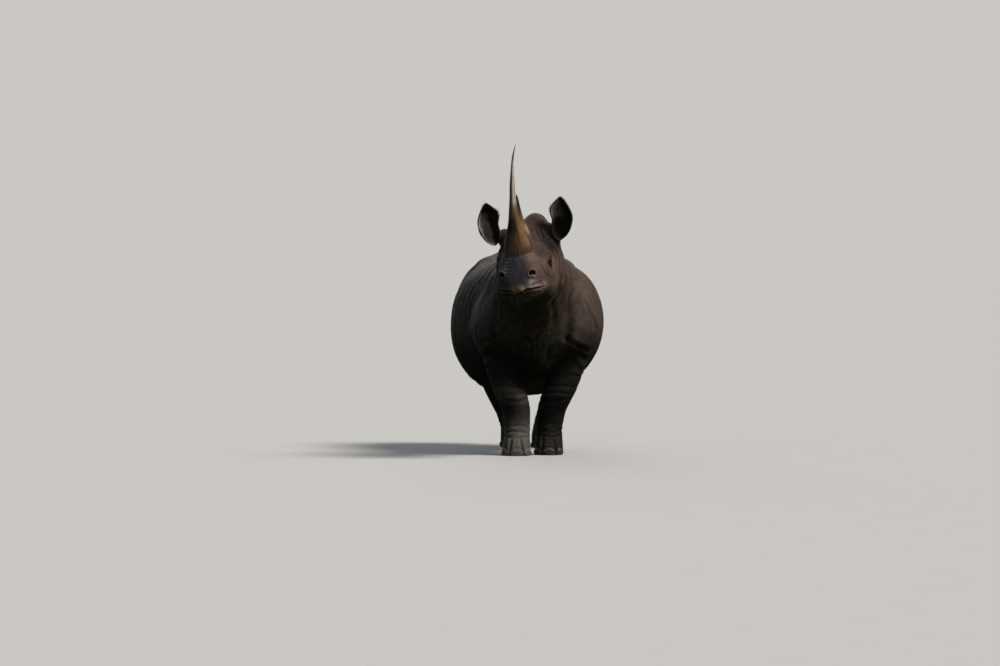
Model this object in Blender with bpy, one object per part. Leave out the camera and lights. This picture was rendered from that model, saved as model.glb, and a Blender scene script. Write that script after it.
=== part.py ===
"""Black rhinoceros, an adult cow standing with its head raised and turned a little to its right.

Metres, +Z up. The animal faces -Y, its left side is +X, and its soles lie on Z = 0.
The origin is the middle of the bounding box, at its base.
"""

import math

import bmesh
import bpy
import numpy as np
from mathutils import Matrix, Vector
from mathutils.bvhtree import BVHTree

# Trunk: sections square to the body's axis, which swings the rump to the animal's right.
BODY_YAW = math.radians(4)
CHEST_X = 0.035  # the axis's place over the fore feet
BELLY_LEAN = 0.06  # how far the belly hangs to the animal's right, per metre below its widest level
# Distance behind the fore feet, top, underside, level of the widest part, half width,
# and how square the upper and the lower half are (2 is an ellipse).
TRUNK = (
    (-0.34, 1.08, 0.90, 0.99, 0.12, 2.0, 2.0),
    (-0.26, 1.26, 0.72, 0.98, 0.25, 1.9, 2.0),
    (-0.12, 1.38, 0.60, 0.97, 0.34, 1.8, 2.1),
    (0.08, 1.455, 0.54, 0.95, 0.385, 1.8, 2.1),
    (0.29, 1.45, 0.49, 0.93, 0.42, 2.0, 2.1),
    (0.52, 1.405, 0.435, 0.90, 0.475, 2.2, 2.1),
    (0.76, 1.38, 0.39, 0.90, 0.533, 2.4, 2.2),
    (0.96, 1.385, 0.39, 0.91, 0.528, 2.4, 2.2),
    (1.18, 1.42, 0.46, 0.95, 0.470, 2.2, 2.1),
    (1.35, 1.435, 0.55, 1.00, 0.42, 2.1, 2.0),
    (1.50, 1.38, 0.65, 1.03, 0.36, 2.0, 2.0),
    (1.63, 1.27, 0.76, 1.03, 0.27, 2.0, 2.0),
    (1.71, 1.12, 0.88, 1.01, 0.14, 2.0, 2.0),
)
# Muscle and bone under the hide of the trunk: place along its axis, across and up,
# then half sizes along X, Y and Z. The paired ones stand on both sides.
PAIRED_MASSES = (
    ((0.06, 0.20, 1.10), (0.16, 0.20, 0.24)),  # shoulder blade
    ((-0.08, 0.24, 0.93), (0.16, 0.20, 0.25)),  # point of the shoulder
    ((0.14, 0.30, 0.92), (0.15, 0.22, 0.22)),  # upper arm
    ((0.16, 0.27, 0.75), (0.09, 0.11, 0.10)),  # elbow
    ((1.31, 0.27, 1.02), (0.20, 0.29, 0.32)),  # haunch
    ((1.22, 0.25, 1.20), (0.15, 0.17, 0.12)),  # hip
    ((1.10, 0.29, 0.72), (0.09, 0.14, 0.16)),  # stifle
)
MIDDLE_MASSES = (
    ((-0.06, 0, 0.76), (0.15, 0.22, 0.23)),  # brisket
    ((1.38, 0, 1.30), (0.24, 0.24, 0.145)),  # croup
    ((0.10, 0, 1.33), (0.15, 0.30, 0.14)),  # withers
)

# Neck: upright sections. Place along Y, place across, top, underside, widest level, half width.
NECK = (
    (-0.58, -0.02, 1.60, 1.10, 1.36, 0.200),
    (-0.48, -0.01, 1.66, 1.02, 1.34, 0.230),
    (-0.38, 0.005, 1.65, 0.93, 1.25, 0.235),
    (-0.28, 0.014, 1.60, 0.82, 1.15, 0.262),
    (-0.15, 0.028, 1.51, 0.70, 1.07, 0.305),
    (0.00, 0.035, 1.47, 0.62, 1.00, 0.355),
    (0.20, 0.03, 1.42, 0.60, 1.00, 0.36),
)
NECK_ROUNDNESS = 1.9
NUCHAL_HUMP = ((0.031, -0.37, 1.602), (0.094, 0.15, 0.108))

# Head, in its own frame: it faces -Y from the tip of the upper lip at its origin.
HEAD_YAW = math.radians(12)
HEAD_PITCH = math.radians(5)
HEAD_ROLL = math.radians(5)
LIP_TIP = Vector((-0.096, -1.04, 1.186))
# Distance behind the lip, top, underside, widest level, half width.
HEAD = (
    (0.000, 0.070, -0.022, 0.020, 0.050),
    (0.015, 0.125, -0.032, 0.025, 0.092),
    (0.035, 0.190, -0.060, 0.030, 0.122),
    (0.060, 0.240, -0.092, 0.032, 0.143),
    (0.095, 0.262, -0.106, 0.030, 0.157),
    (0.150, 0.278, -0.108, 0.025, 0.166),
    (0.215, 0.292, -0.106, 0.030, 0.171),
    (0.275, 0.300, -0.110, 0.045, 0.182),
    (0.330, 0.302, -0.120, 0.070, 0.185),
    (0.400, 0.305, -0.138, 0.070, 0.187),
    (0.470, 0.335, -0.148, 0.070, 0.183),
    (0.540, 0.380, -0.140, 0.080, 0.177),
    (0.600, 0.405, -0.105, 0.100, 0.170),
    (0.660, 0.395, -0.050, 0.130, 0.150),
    (0.700, 0.365, 0.020, 0.170, 0.120),
)
HEAD_UPPER, HEAD_LOWER = 2.2, 2.3
# What swells out of the head, in its own frame: middle, then half sizes.
HEAD_PAIRS = (
    ((0.096, 0.062, 0.100), (0.050, 0.056, 0.056)),  # nostril wing
    ((0.142, 0.330, 0.185), (0.058, 0.085, 0.045)),  # brow
    ((0.112, 0.415, -0.010), (0.078, 0.130, 0.130)),  # cheek
)
HEAD_MIDDLES = (
    ((0, 0.022, 0.000), (0.060, 0.038, 0.044)),  # upper lip
    ((0, 0.085, -0.078), (0.090, 0.055, 0.040)),  # chin
)
EAR_ROOT_IN = 0.055  # from the ear's lowest point towards the middle
EAR_ROOT = (0.660, 0.310)
EAR_ROOT_RADII = (0.075, 0.055, 0.075)

# Legs: level sections. Height, distance from the pair's middle, place behind the fore feet,
# half width, half depth.
FORELEG = (
    (1.18, 0.235, 0.06, 0.120, 0.200),
    (0.95, 0.300, 0.03, 0.135, 0.215),
    (0.78, 0.285, 0.04, 0.130, 0.190),
    (0.65, 0.235, 0.03, 0.125, 0.155),
    (0.52, 0.195, 0.01, 0.122, 0.130),
    (0.43, 0.165, -0.01, 0.118, 0.120),
    (0.32, 0.128, 0.00, 0.103, 0.102),
    (0.20, 0.114, 0.005, 0.092, 0.094),
    (0.11, 0.112, -0.005, 0.094, 0.103),
    (0.05, 0.113, -0.015, 0.102, 0.118),
    (-0.03, 0.113, -0.018, 0.104, 0.120),
)
HINDLEG = (
    (1.20, 0.200, 1.335, 0.170, 0.230),
    (1.00, 0.260, 1.315, 0.170, 0.250),
    (0.80, 0.265, 1.275, 0.155, 0.220),
    (0.65, 0.252, 1.275, 0.125, 0.175),
    (0.53, 0.236, 1.325, 0.102, 0.142),
    (0.43, 0.216, 1.390, 0.092, 0.118),
    (0.33, 0.181, 1.400, 0.085, 0.098),
    (0.20, 0.130, 1.375, 0.080, 0.090),
    (0.11, 0.112, 1.355, 0.085, 0.100),
    (0.05, 0.112, 1.345, 0.095, 0.112),
    (-0.03, 0.112, 1.345, 0.097, 0.114),
)
LEG_ROUNDNESS = 2.2
LEG_TOP = 0.90  # above this a leg is part of the trunk's mass and stands still
FORE_MIDDLE, FORE_SHIFT = 0.04, -0.03  # the pair's middle at LEG_TOP, and its shift at the floor
HIND_MIDDLE, HIND_SHIFT = -0.06, 0.05
KNEE_CUT, HOCK_CUT, ANKLE_CUT = 0.44, 0.42, 0.13  # levels where a leg's pieces meet
FORE_CUT_ENDS, HIND_CUT_ENDS = (-0.6, 0.27), (1.12, 2.2)  # the legs' spaces along Y
# How far each foot stands behind its pair's middle.
STEPS = {"fore_left": 0.05, "fore_right": -0.09, "hind_left": -0.07, "hind_right": 0.05}

# The pieces set on or into the head, in its own frame.
FRONT_HORN = (
    (0.200, 0.137, 0.086, 0.090),
    (0.235, 0.136, 0.093, 0.090),
    (0.270, 0.134, 0.094, 0.088),
    (0.320, 0.127, 0.083, 0.078),
    (0.385, 0.119, 0.063, 0.062),
    (0.450, 0.115, 0.043, 0.047),
    (0.510, 0.119, 0.033, 0.037),
    (0.620, 0.145, 0.0215, 0.025),
    (0.730, 0.184, 0.0155, 0.018),
    (0.790, 0.212, 0.0107, 0.013),
    (0.850, 0.250, 0.0075, 0.0095),
    (0.905, 0.310, 0.0055, 0.0065),
    (0.962, 0.408, 0.0015, 0.0020),
)
REAR_HORN = (
    (0.250, 0.295, 0.085, 0.075),
    (0.300, 0.292, 0.078, 0.070),
    (0.345, 0.288, 0.068, 0.064),
    (0.390, 0.285, 0.053, 0.052),
    (0.450, 0.281, 0.033, 0.034),
    (0.490, 0.279, 0.024, 0.026),
    (0.550, 0.277, 0.0145, 0.016),
    (0.600, 0.275, 0.009, 0.010),
    (0.630, 0.274, 0.0015, 0.002),
)
# Ear: height above its lowest point, outward shift, half width, depth of the cup.
EAR = (
    (0.000, 0.000, 0.010, 0.008),
    (0.020, 0.003, 0.038, 0.034),
    (0.050, 0.010, 0.059, 0.052),
    (0.100, 0.022, 0.071, 0.060),
    (0.150, 0.031, 0.074, 0.058),
    (0.200, 0.022, 0.073, 0.050),
    (0.245, 0.019, 0.056, 0.036),
    (0.280, 0.026, 0.028, 0.020),
    (0.302, 0.031, 0.005, 0.006),
)
EAR_OUT = {1: 0.209, -1: 0.258}  # its lowest point's distance from the middle, by side
EAR_BACK, EAR_LOW = 0.575, 0.262
EAR_TURN = math.radians(14)  # both ears swing to the animal's left
EAR_FRONT = 0.35  # how far the rims come forward, as a share of the cup's depth
EAR_WALL = 0.009
EAR_FLOOR, EAR_CLOSED_TIP = 0.022, 0.020  # what is solid at its lower end and at its tip
EAR_RINGS, EAR_STEPS = 11, 8
EYE_RADIUS = 0.0165
EYE_PLACE = (0.325, 0.126)  # behind the lip, above the mouth
EYE_STANDS_OUT = 0.006
EYE_SEARCH = 0.5  # how far out a line towards the socket starts
NOSTRIL = (0.112, 0.020, 0.100)
NOSTRIL_RADII = (0.019, 0.034, 0.017)
NOSTRIL_TURN = 0.5
# Cuts: the back of the head, and the space of the lower jaw seen from the side.
HEAD_CUT = 0.625
JAW_CUT = ((-0.2, -0.40), (-0.2, -0.012), (0.165, -0.012), (0.27, -0.10), (0.35, -0.40))
JAW_CUT_HALF = 0.3
NECK_CUT = ((0, 0.04, 1.46), (0, -0.83, 0.56))
CHEST_END = 0.40
BARREL_END = 1.08
FORE_CUT = ((0.0, -0.2), (0.7, -0.2), (0.7, 0.92), (0.12, 0.56), (0.0, 0.50))
HIND_CUT = ((0.0, -0.2), (0.7, -0.2), (0.7, 0.84), (0.11, 0.59), (0.035, 0.42), (0.0, 0.38))

# Tail, hanging: height, place behind the fore feet, half width, half depth.
TAIL = (
    (1.26, 1.57, 0.050, 0.050),
    (1.21, 1.63, 0.042, 0.042),
    (1.12, 1.695, 0.033, 0.034),
    (1.00, 1.740, 0.027, 0.027),
    (0.85, 1.755, 0.022, 0.022),
    (0.68, 1.755, 0.018, 0.017),
)
TAIL_TUFT = (
    (0.6797, 1.755, 0.016, 0.020),
    (0.62, 1.755, 0.016, 0.034),
    (0.55, 1.753, 0.013, 0.036),
    (0.48, 1.750, 0.005, 0.014),
)

TOE_ANGLES = (math.radians(-48), 0.0, math.radians(48))
TOE_OUT = 0.62  # a toe's middle, as a share of the foot's own half width and half depth
TOE_HEIGHT = 0.045
TOE_RADII = (0.046, 0.046, 0.062)
NAIL_RADII = (0.040, 0.016, 0.036)
NAIL_HEIGHT = 0.019  # its middle; its lower edge is cut level
NAIL_SEARCH = 0.4  # how far out a line towards the toe starts
NAIL_CUT = 0.003
NAIL_SUNK = 0.50  # how much of its own thickness lies behind the toe's surface
MIDDLE_NAIL = 1.2
HIDE_COLOUR = (0.115, 0.095, 0.085)
FOOT_COLOUR = (0.20, 0.18, 0.16)
HORN_COLOUR = (0.36, 0.25, 0.14)
EYE_COLOUR = (0.05, 0.03, 0.02)
NAIL_COLOUR = (0.23, 0.20, 0.16)
HIDE_ROUGHNESS, HORN_ROUGHNESS, NAIL_ROUGHNESS, EYE_ROUGHNESS = 0.8, 0.5, 0.6, 0.08
SIDES = ((1, "left"), (-1, "right"))
FINE_SHARE = 0.043
COARSE_SHARE = 0.015
NAIL_SHARE = 0.55
# Rings along each form, and points round each section.
TRUNK_RINGS, NECK_RINGS, HEAD_RINGS, LEG_RINGS = 60, 36, 64, 60
FRONT_HORN_RINGS, REAR_HORN_RINGS, TAIL_RINGS, TUFT_RINGS = 16, 9, 9, 6
BODY_SIDES, HORN_SIDES, TAIL_SIDES = 36, 12, 10

GAP = 0.0003  # left between neighbouring pieces
VOXEL = 0.014
BLEND_STEPS = 12


def spline_rows(rows, count):
    """Rows of numbers, the first column rising, resampled evenly along a smooth curve."""
    rows = np.array(rows, float)
    keys = rows[:, 0]
    slopes = np.gradient(rows, keys, axis=0)
    at = np.linspace(keys[0], keys[-1], count)
    first = np.clip(np.searchsorted(keys, at) - 1, 0, len(keys) - 2)
    span = (keys[first + 1] - keys[first])[:, None]
    s = (at - keys[first])[:, None] / span
    start = (2 * s**3 - 3 * s**2 + 1) * rows[first] + (s**3 - 2 * s**2 + s) * span * slopes[first]
    end = (3 * s**2 - 2 * s**3) * rows[first + 1] + (s**3 - s**2) * span * slopes[first + 1]
    return start + end


def section(half_width, above, below, upper=2.0, lower=2.0, sides=BODY_SIDES):
    """Points (across, up) round a closed section whose widest level is 0."""
    points = []
    for k in range(sides):
        angle = 2 * math.pi * k / sides
        c, s = math.cos(angle), math.sin(angle)
        power = 2 / (upper if s >= 0 else lower)
        reach = above if s >= 0 else below
        across = half_width * math.copysign(abs(c) ** power, c)
        points.append((across, math.copysign(reach * abs(s) ** power, s)))
    return points


def add_loft(bm, rings, place=None):
    """A closed body through rings of points, with a fan at each end."""
    place = place or Matrix()
    loops = [[bm.verts.new(place @ Vector(p)) for p in ring] for ring in rings]
    faces = []
    for a, b in zip(loops, loops[1:]):
        for k in range(len(a)):
            n = (k + 1) % len(a)
            faces.append(bm.faces.new((a[k], a[n], b[n], b[k])))
    for loop in (loops[0], loops[-1]):
        middle = bm.verts.new(sum((v.co for v in loop), Vector()) / len(loop))
        for k in range(len(loop)):
            faces.append(bm.faces.new((loop[k], loop[(k + 1) % len(loop)], middle)))
    bmesh.ops.recalc_face_normals(bm, faces=faces)


def add_lump(bm, centre, radii, place=None, turn=0.0, subdivisions=3):
    """An ellipsoid, turned about its own Z before it is placed."""
    where = (place or Matrix()) @ Matrix.Translation(centre) @ Matrix.Rotation(turn, 4, "Z")
    where = where @ Matrix.Diagonal((*radii, 1))
    bmesh.ops.create_icosphere(bm, subdivisions=subdivisions, radius=1, matrix=where)


def trunk_point(along, across, up):
    """A point given in the trunk's own directions."""
    return Vector(
        (
            CHEST_X + across * math.cos(BODY_YAW) - along * math.sin(BODY_YAW),
            along * math.cos(BODY_YAW) + across * math.sin(BODY_YAW),
            up,
        )
    )


def forwards():
    """The way that the trunk faces."""
    return Vector((math.sin(BODY_YAW), -math.cos(BODY_YAW), 0))


def head_frame():
    """Where the head's own frame stands on the animal."""
    turn = (
        Matrix.Rotation(-HEAD_YAW, 4, "Z")
        @ Matrix.Rotation(HEAD_PITCH, 4, "X")
        @ Matrix.Rotation(-HEAD_ROLL, 4, "Y")
    )
    return Matrix.Translation(LIP_TIP) @ turn


def add_trunk(bm):
    """The trunk with its muscles."""
    rings = []
    for along, top, under, level, half, upper, lower in spline_rows(TRUNK, TRUNK_RINGS):
        ring = section(half, top - level, level - under, upper, lower)
        hanging = [(across + BELLY_LEAN * min(up, 0), up) for across, up in ring]
        rings.append([trunk_point(along, across, level + up) for across, up in hanging])
    add_loft(bm, rings)
    for (along, across, up), radii in PAIRED_MASSES:
        for side, _ in SIDES:
            add_lump(bm, trunk_point(along, side * across, up), radii)
    for place, radii in MIDDLE_MASSES:
        add_lump(bm, trunk_point(*place), radii)


def add_neck(bm):
    """The neck with the hump behind the ears."""
    rings = []
    for y, x, top, under, level, half in spline_rows(NECK, NECK_RINGS):
        ring = section(half, top - level, level - under, NECK_ROUNDNESS, NECK_ROUNDNESS)
        rings.append([(x + across, y, level + up) for across, up in ring])
    add_loft(bm, rings)
    add_lump(bm, *NUCHAL_HUMP)


def add_head(bm, frame):
    """The head with its lips, cheeks, brows and the roots of its ears."""
    rings = []
    for back, top, under, level, half in spline_rows(HEAD, HEAD_RINGS):
        ring = section(half, top - level, level - under, HEAD_UPPER, HEAD_LOWER)
        rings.append([(across, back, level + up) for across, up in ring])
    add_loft(bm, rings, frame)
    for side, _ in SIDES:
        for (across, back, up), radii in HEAD_PAIRS:
            add_lump(bm, (side * across, back, up), radii, frame)
        root = side * (EAR_OUT[side] - EAR_ROOT_IN)
        add_lump(bm, (root, *EAR_ROOT), EAR_ROOT_RADII, frame)
    for place, radii in HEAD_MIDDLES:
        add_lump(bm, place, radii, frame)


def leg_middle(name, height):
    """Where the middle of a pair of legs is at a height, across."""
    fore = name.startswith("fore")
    middle, shift = (FORE_MIDDLE, FORE_SHIFT) if fore else (HIND_MIDDLE, HIND_SHIFT)
    return middle + shift * leg_share(height)


def leg_share(height):
    """How much of the foot's own step a level of the leg follows."""
    return min(max(1 - height / LEG_TOP, 0), 1)


def add_leg(bm, name):
    """A leg from the sole up into the trunk."""
    side = 1 if name.endswith("left") else -1
    rows = FORELEG if name.startswith("fore") else HINDLEG
    rows = [(-height, *rest) for height, *rest in rows]
    rings = []
    for down, out, along, half, depth in spline_rows(rows, LEG_RINGS):
        height = -down
        x = leg_middle(name, height) + side * out
        y = along + STEPS[name] * leg_share(height)
        ring = section(half, depth, depth, LEG_ROUNDNESS, LEG_ROUNDNESS)
        rings.append([(x + across, y + up, height) for across, up in ring])
    add_loft(bm, rings)


def add_toes(bm, name):
    """Three rounded toes along the front of a foot."""
    x, y, half, depth = foot_place(name)
    for angle in TOE_ANGLES:
        out = Vector((math.sin(angle) * half, -math.cos(angle) * depth, 0)) * TOE_OUT
        add_lump(bm, (x + out.x, y + out.y, TOE_HEIGHT), TOE_RADII)


def foot_place(name):
    """A foot's middle, half width and half depth, a little above the sole."""
    side = 1 if name.endswith("left") else -1
    rows = FORELEG if name.startswith("fore") else HINDLEG
    height, out, along, half, depth = rows[-2]
    x = leg_middle(name, height) + side * out
    return x, along + STEPS[name] * leg_share(height), half, depth


def horn_rings(rows, count):
    """Rings square to a path that rises along Z and bends along Y.

    Each row is the height, the place along Y, the half width and the half length."""
    path = spline_rows(rows, count)
    slopes = np.gradient(path[:, 1], path[:, 0])
    rings = []
    for (height, back, half, length), slope in zip(path, slopes):
        lean = math.atan(slope)
        c, s = math.cos(lean), math.sin(lean)
        ring = section(half, length, length, sides=HORN_SIDES)
        rings.append([(x, back + y * c, height - y * s) for x, y in ring])
    return rings


def ear_form(side, frame):
    """A cup that opens to the front, closed at its lower end and at its tip."""
    place = frame @ Matrix.Translation((side * EAR_OUT[side], EAR_BACK, EAR_LOW))
    place = place @ Matrix.Rotation(EAR_TURN, 4, "Z")
    lip = math.asin(EAR_FRONT)
    angles = np.linspace(-lip, math.pi + lip, EAR_STEPS)
    top = EAR[-1][0]
    rings = []
    for height, out, half, depth in spline_rows(EAR, EAR_RINGS):
        opened = min(max(height / EAR_FLOOR, 0), max((top - height) / EAR_CLOSED_TIP, 0), 1)
        back = [(half * math.cos(a), depth * math.sin(a)) for a in angles]
        thin_half, thin_depth = max(half - EAR_WALL, 0.001), max(depth - EAR_WALL, 0.001)
        front = [(thin_half * math.cos(a), thin_depth * math.sin(a)) for a in angles[::-1]]
        chord = -depth * EAR_FRONT
        front = [(x, chord + (y - chord) * opened) for x, y in front]
        rings.append([(side * out + x, y, height) for x, y in back + front])
    bm = bmesh.new()
    add_loft(bm, rings, place)
    return helper(mesh_object("ear_form", bm))


def mesh_object(name, bm):
    """A new object that holds the mesh."""
    mesh = bpy.data.meshes.new(name)
    bm.to_mesh(mesh)
    bm.free()
    made = bpy.data.objects.new(name, mesh)
    bpy.context.scene.collection.objects.link(made)
    return made


def helper(made):
    """Marks a cutter or a guide, which isn't a piece of the animal."""
    made.hide_render = True
    made.display_type = "WIRE"
    return made


def evaluated(source, name):
    """A plain object with the shape that the source's modifiers give."""
    bpy.context.view_layer.update()
    graph = bpy.context.evaluated_depsgraph_get()
    mesh = bpy.data.meshes.new_from_object(source.evaluated_get(graph))
    made = bpy.data.objects.new(name, mesh)
    bpy.context.scene.collection.objects.link(made)
    return made


def thinned(source, name, ratio):
    """A copy with fewer triangles, spread by the shape's curvature."""
    modifier = source.modifiers.new("thin", "DECIMATE")
    modifier.ratio = ratio
    made = evaluated(source, name)
    source.modifiers.remove(modifier)
    helper(source)
    return helper(made)


def grown(source, amount=GAP):
    """A copy whose surface stands a little outside the source's."""
    modifier = source.modifiers.new("grow", "DISPLACE")
    modifier.strength = amount
    modifier.mid_level = 0
    made = evaluated(source, source.name + "_grown")
    source.modifiers.remove(modifier)
    return helper(made)


def cut(source, name, *steps):
    """The source after each (operation, cutter) in turn, as a plain object."""
    for operation, cutter in steps:
        modifier = source.modifiers.new(operation.lower(), "BOOLEAN")
        modifier.operation = operation
        modifier.object = cutter
    made = evaluated(source, name)
    source.modifiers.clear()
    return made


def keep_largest(piece):
    """Clears away any crumb that a cut leaves loose."""
    bm = bmesh.new()
    bm.from_mesh(piece.data)
    left = set(bm.verts)
    islands = []
    while left:
        island, edge = set(), [left.pop()]
        while edge:
            vert = edge.pop()
            island.add(vert)
            near = {e.other_vert(vert) for e in vert.link_edges} & left
            left -= near
            edge.extend(near)
        islands.append(island)
    islands.sort(key=len)
    crumbs = [vert for island in islands[:-1] for vert in island]
    bmesh.ops.delete(bm, geom=crumbs, context="VERTS")
    bm.to_mesh(piece.data)
    bm.free()


def half(source, name, point, normal):
    """What lies on the side that the normal points to, capped half a gap from the plane."""
    normal = Vector(normal).normalized()
    bm = bmesh.new()
    bm.from_mesh(source.data)
    everything = bm.verts[:] + bm.edges[:] + bm.faces[:]
    bmesh.ops.bisect_plane(
        bm,
        geom=everything,
        plane_co=Vector(point) + normal * GAP / 2,
        plane_no=normal,
        clear_inner=True,
    )
    rim = [edge for edge in bm.edges if edge.is_boundary]
    bmesh.ops.holes_fill(bm, edges=rim, sides=0)
    bmesh.ops.triangulate(bm, faces=[face for face in bm.faces if len(face.verts) > 3])
    return helper(mesh_object(name, bm))


def halves(source, point, normal, front, back):
    """Both sides of a thin cut, the one that the normal points to first."""
    return half(source, front, point, normal), half(source, back, point, -Vector(normal))


def prism(name, outline, start, end, place=None):
    """A cutter: an outline in X and Z, carried along Y."""
    bm = bmesh.new()
    add_loft(bm, [[(x, y, z) for x, z in outline] for y in (start, end)], place)
    return helper(mesh_object(name, bm))


def leg_cutter(name, grow):
    """The space below a slanting plane on one side, which holds one leg."""
    side = 1 if name.endswith("left") else -1
    fore = name.startswith("fore")
    middle = leg_middle(name, 0)
    outline = FORE_CUT if fore else HIND_CUT
    start, end = FORE_CUT_ENDS if fore else HIND_CUT_ENDS
    return prism(
        name + "_cutter",
        [(middle + side * (x - grow), z + grow) for x, z in outline],
        start - grow,
        end + grow,
    )


def surface_hit(source, origin, direction):
    """Where a ray first meets the source."""
    tree = BVHTree.FromObject(source, bpy.context.evaluated_depsgraph_get())
    return tree.ray_cast(origin, direction)[0]


def ball(name, centre, radii, place=None, turn=0.0):
    """An ellipsoid as an object of its own."""
    bm = bmesh.new()
    add_lump(bm, centre, radii, place, turn, subdivisions=2)
    return mesh_object(name, bm)


def whole_flesh(frame):
    """Trunk, neck, head and legs blended into one body."""
    bm = bmesh.new()
    add_trunk(bm)
    add_neck(bm)
    add_head(bm, frame)
    for name in STEPS:
        add_leg(bm, name)
        add_toes(bm, name)
    forms = helper(mesh_object("forms", bm))
    remesh = forms.modifiers.new("union", "REMESH")
    remesh.mode = "VOXEL"
    remesh.voxel_size = VOXEL
    smooth = forms.modifiers.new("blend", "SMOOTH")
    smooth.factor = 0.5
    smooth.iterations = BLEND_STEPS
    flesh = helper(evaluated(forms, "flesh"))
    bpy.data.objects.remove(forms)
    return flesh


def make_eye(whole, frame, side, word):
    """An eyeball let into the head where its socket lies. Returns the space that it fills."""
    origin = frame @ Vector((side * EYE_SEARCH, *EYE_PLACE))
    inward = frame.to_3x3() @ Vector((-side, 0, 0))
    hit = surface_hit(whole, origin, inward)
    centre = hit + inward * (EYE_RADIUS - EYE_STANDS_OUT)
    finish(ball("eye_" + word, centre, (EYE_RADIUS,) * 3), "eye", EYE_COLOUR, EYE_ROUGHNESS)
    return helper(ball("socket", centre, (EYE_RADIUS + GAP,) * 3))


def jaw_cutter(name, frame, grow):
    """The space that the lower jaw fills."""
    outline = [(back + grow, up + grow) for back, up in JAW_CUT]
    sideways = frame @ Matrix.Rotation(math.pi / 2, 4, "Z")
    return prism(name, outline, -JAW_CUT_HALF, JAW_CUT_HALF, sideways)


def make_head(fine, frame):
    """Head, lower jaw, eyes and horns."""
    back_of_head = frame @ Vector((0, HEAD_CUT, 0))
    facing = frame.to_3x3() @ Vector((0, -1, 0))
    whole = half(fine, "head_form", back_of_head, facing)
    skin = grown(whole)
    pits = []
    for side, word in SIDES:
        place = (side * NOSTRIL[0], *NOSTRIL[1:])
        pits.append(helper(ball("nostril", place, NOSTRIL_RADII, frame, side * NOSTRIL_TURN)))
        pits.append(make_eye(whole, frame, side, word))
    spaces = [*pits, jaw_cutter("jaw_cutter_grown", frame, GAP)]
    head = cut(whole, "head", *[("DIFFERENCE", space) for space in spaces])
    finish(head, "hide_head", HIDE_COLOUR, HIDE_ROUGHNESS)
    jaw = cut(whole, "lower_jaw", ("INTERSECT", jaw_cutter("jaw_cutter", frame, 0)))
    finish(jaw, "hide_jaw", HIDE_COLOUR, HIDE_ROUGHNESS)
    horns = (
        ("horn_front", FRONT_HORN, FRONT_HORN_RINGS),
        ("horn_rear", REAR_HORN, REAR_HORN_RINGS),
    )
    for name, rows, count in horns:
        bm = bmesh.new()
        add_loft(bm, horn_rings(rows, count), frame)
        form = helper(mesh_object(name + "_form", bm))
        horn = cut(form, name, ("DIFFERENCE", skin))
        finish(horn, name, HORN_COLOUR, HORN_ROUGHNESS)


def make_ears(frame, *skins):
    """Both ears, cut to the skins that they stand on."""
    steps = [("DIFFERENCE", skin) for skin in skins]
    for side, word in SIDES:
        ear = cut(ear_form(side, frame), "ear_" + word, *steps)
        finish(ear, "hide_ear", HIDE_COLOUR, HIDE_ROUGHNESS)


def make_foot(name, form):
    """The foot with its three nails let into it."""
    x, y, half_width, depth = foot_place(name)
    kind = "forefoot" if name.startswith("fore") else "hindfoot"
    word = name.split("_")[1]
    nails = []
    for place, angle in zip(("inner", "middle", "outer"), TOE_ANGLES):
        turn = angle if word == "left" else -angle
        outward = Vector((math.sin(turn), -math.cos(turn), 0))
        origin = Vector((x, y, NAIL_HEIGHT)) + outward * NAIL_SEARCH
        hit = surface_hit(form, origin, -outward)
        centre = hit - outward * NAIL_RADII[1] * NAIL_SUNK
        wide = MIDDLE_NAIL if place == "middle" else 1.0
        radii = (NAIL_RADII[0] * wide, NAIL_RADII[1], NAIL_RADII[2])
        nail = thinned(ball("nail_form", centre, radii, turn=turn), "nail_thin", NAIL_SHARE)
        nails.append(grown(nail))
        piece = half(nail, f"nail_{name}_{place}", (0, 0, NAIL_CUT), (0, 0, 1))
        show(piece)
        finish(piece, "nail", NAIL_COLOUR, NAIL_ROUGHNESS)
    foot = cut(form, f"{kind}_{word}", *[("DIFFERENCE", nail) for nail in nails])
    keep_largest(foot)
    finish(foot, "hide_foot", FOOT_COLOUR, HIDE_ROUGHNESS)


def make_leg(name, coarse):
    """A leg as its upper part, its lower part and its foot."""
    fore = name.startswith("fore")
    word = name.split("_")[1]
    kind, knee = ("foreleg", KNEE_CUT) if fore else ("hindleg", HOCK_CUT)
    up, down = (0, 0, 1), (0, 0, -1)
    leg = helper(cut(coarse, name + "_form", ("INTERSECT", leg_cutter(name, 0))))
    upper, rest = halves(leg, (0, 0, knee), up, f"{kind}_{word}_upper", "rest")
    lower = half(rest, f"{kind}_{word}_lower", (0, 0, ANKLE_CUT), up)
    foot = half(leg, "foot_form", (0, 0, ANKLE_CUT), down)
    sole = half(foot, "foot_cut", (0, 0, -GAP / 2), up)
    for piece in (upper, lower):
        show(piece)
        finish(piece, "hide_leg", HIDE_COLOUR, HIDE_ROUGHNESS)
    make_foot(name, sole)


def show(piece):
    """Marks a piece of the animal, which a cut left as a helper."""
    piece.hide_render = False
    piece.display_type = "TEXTURED"


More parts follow.
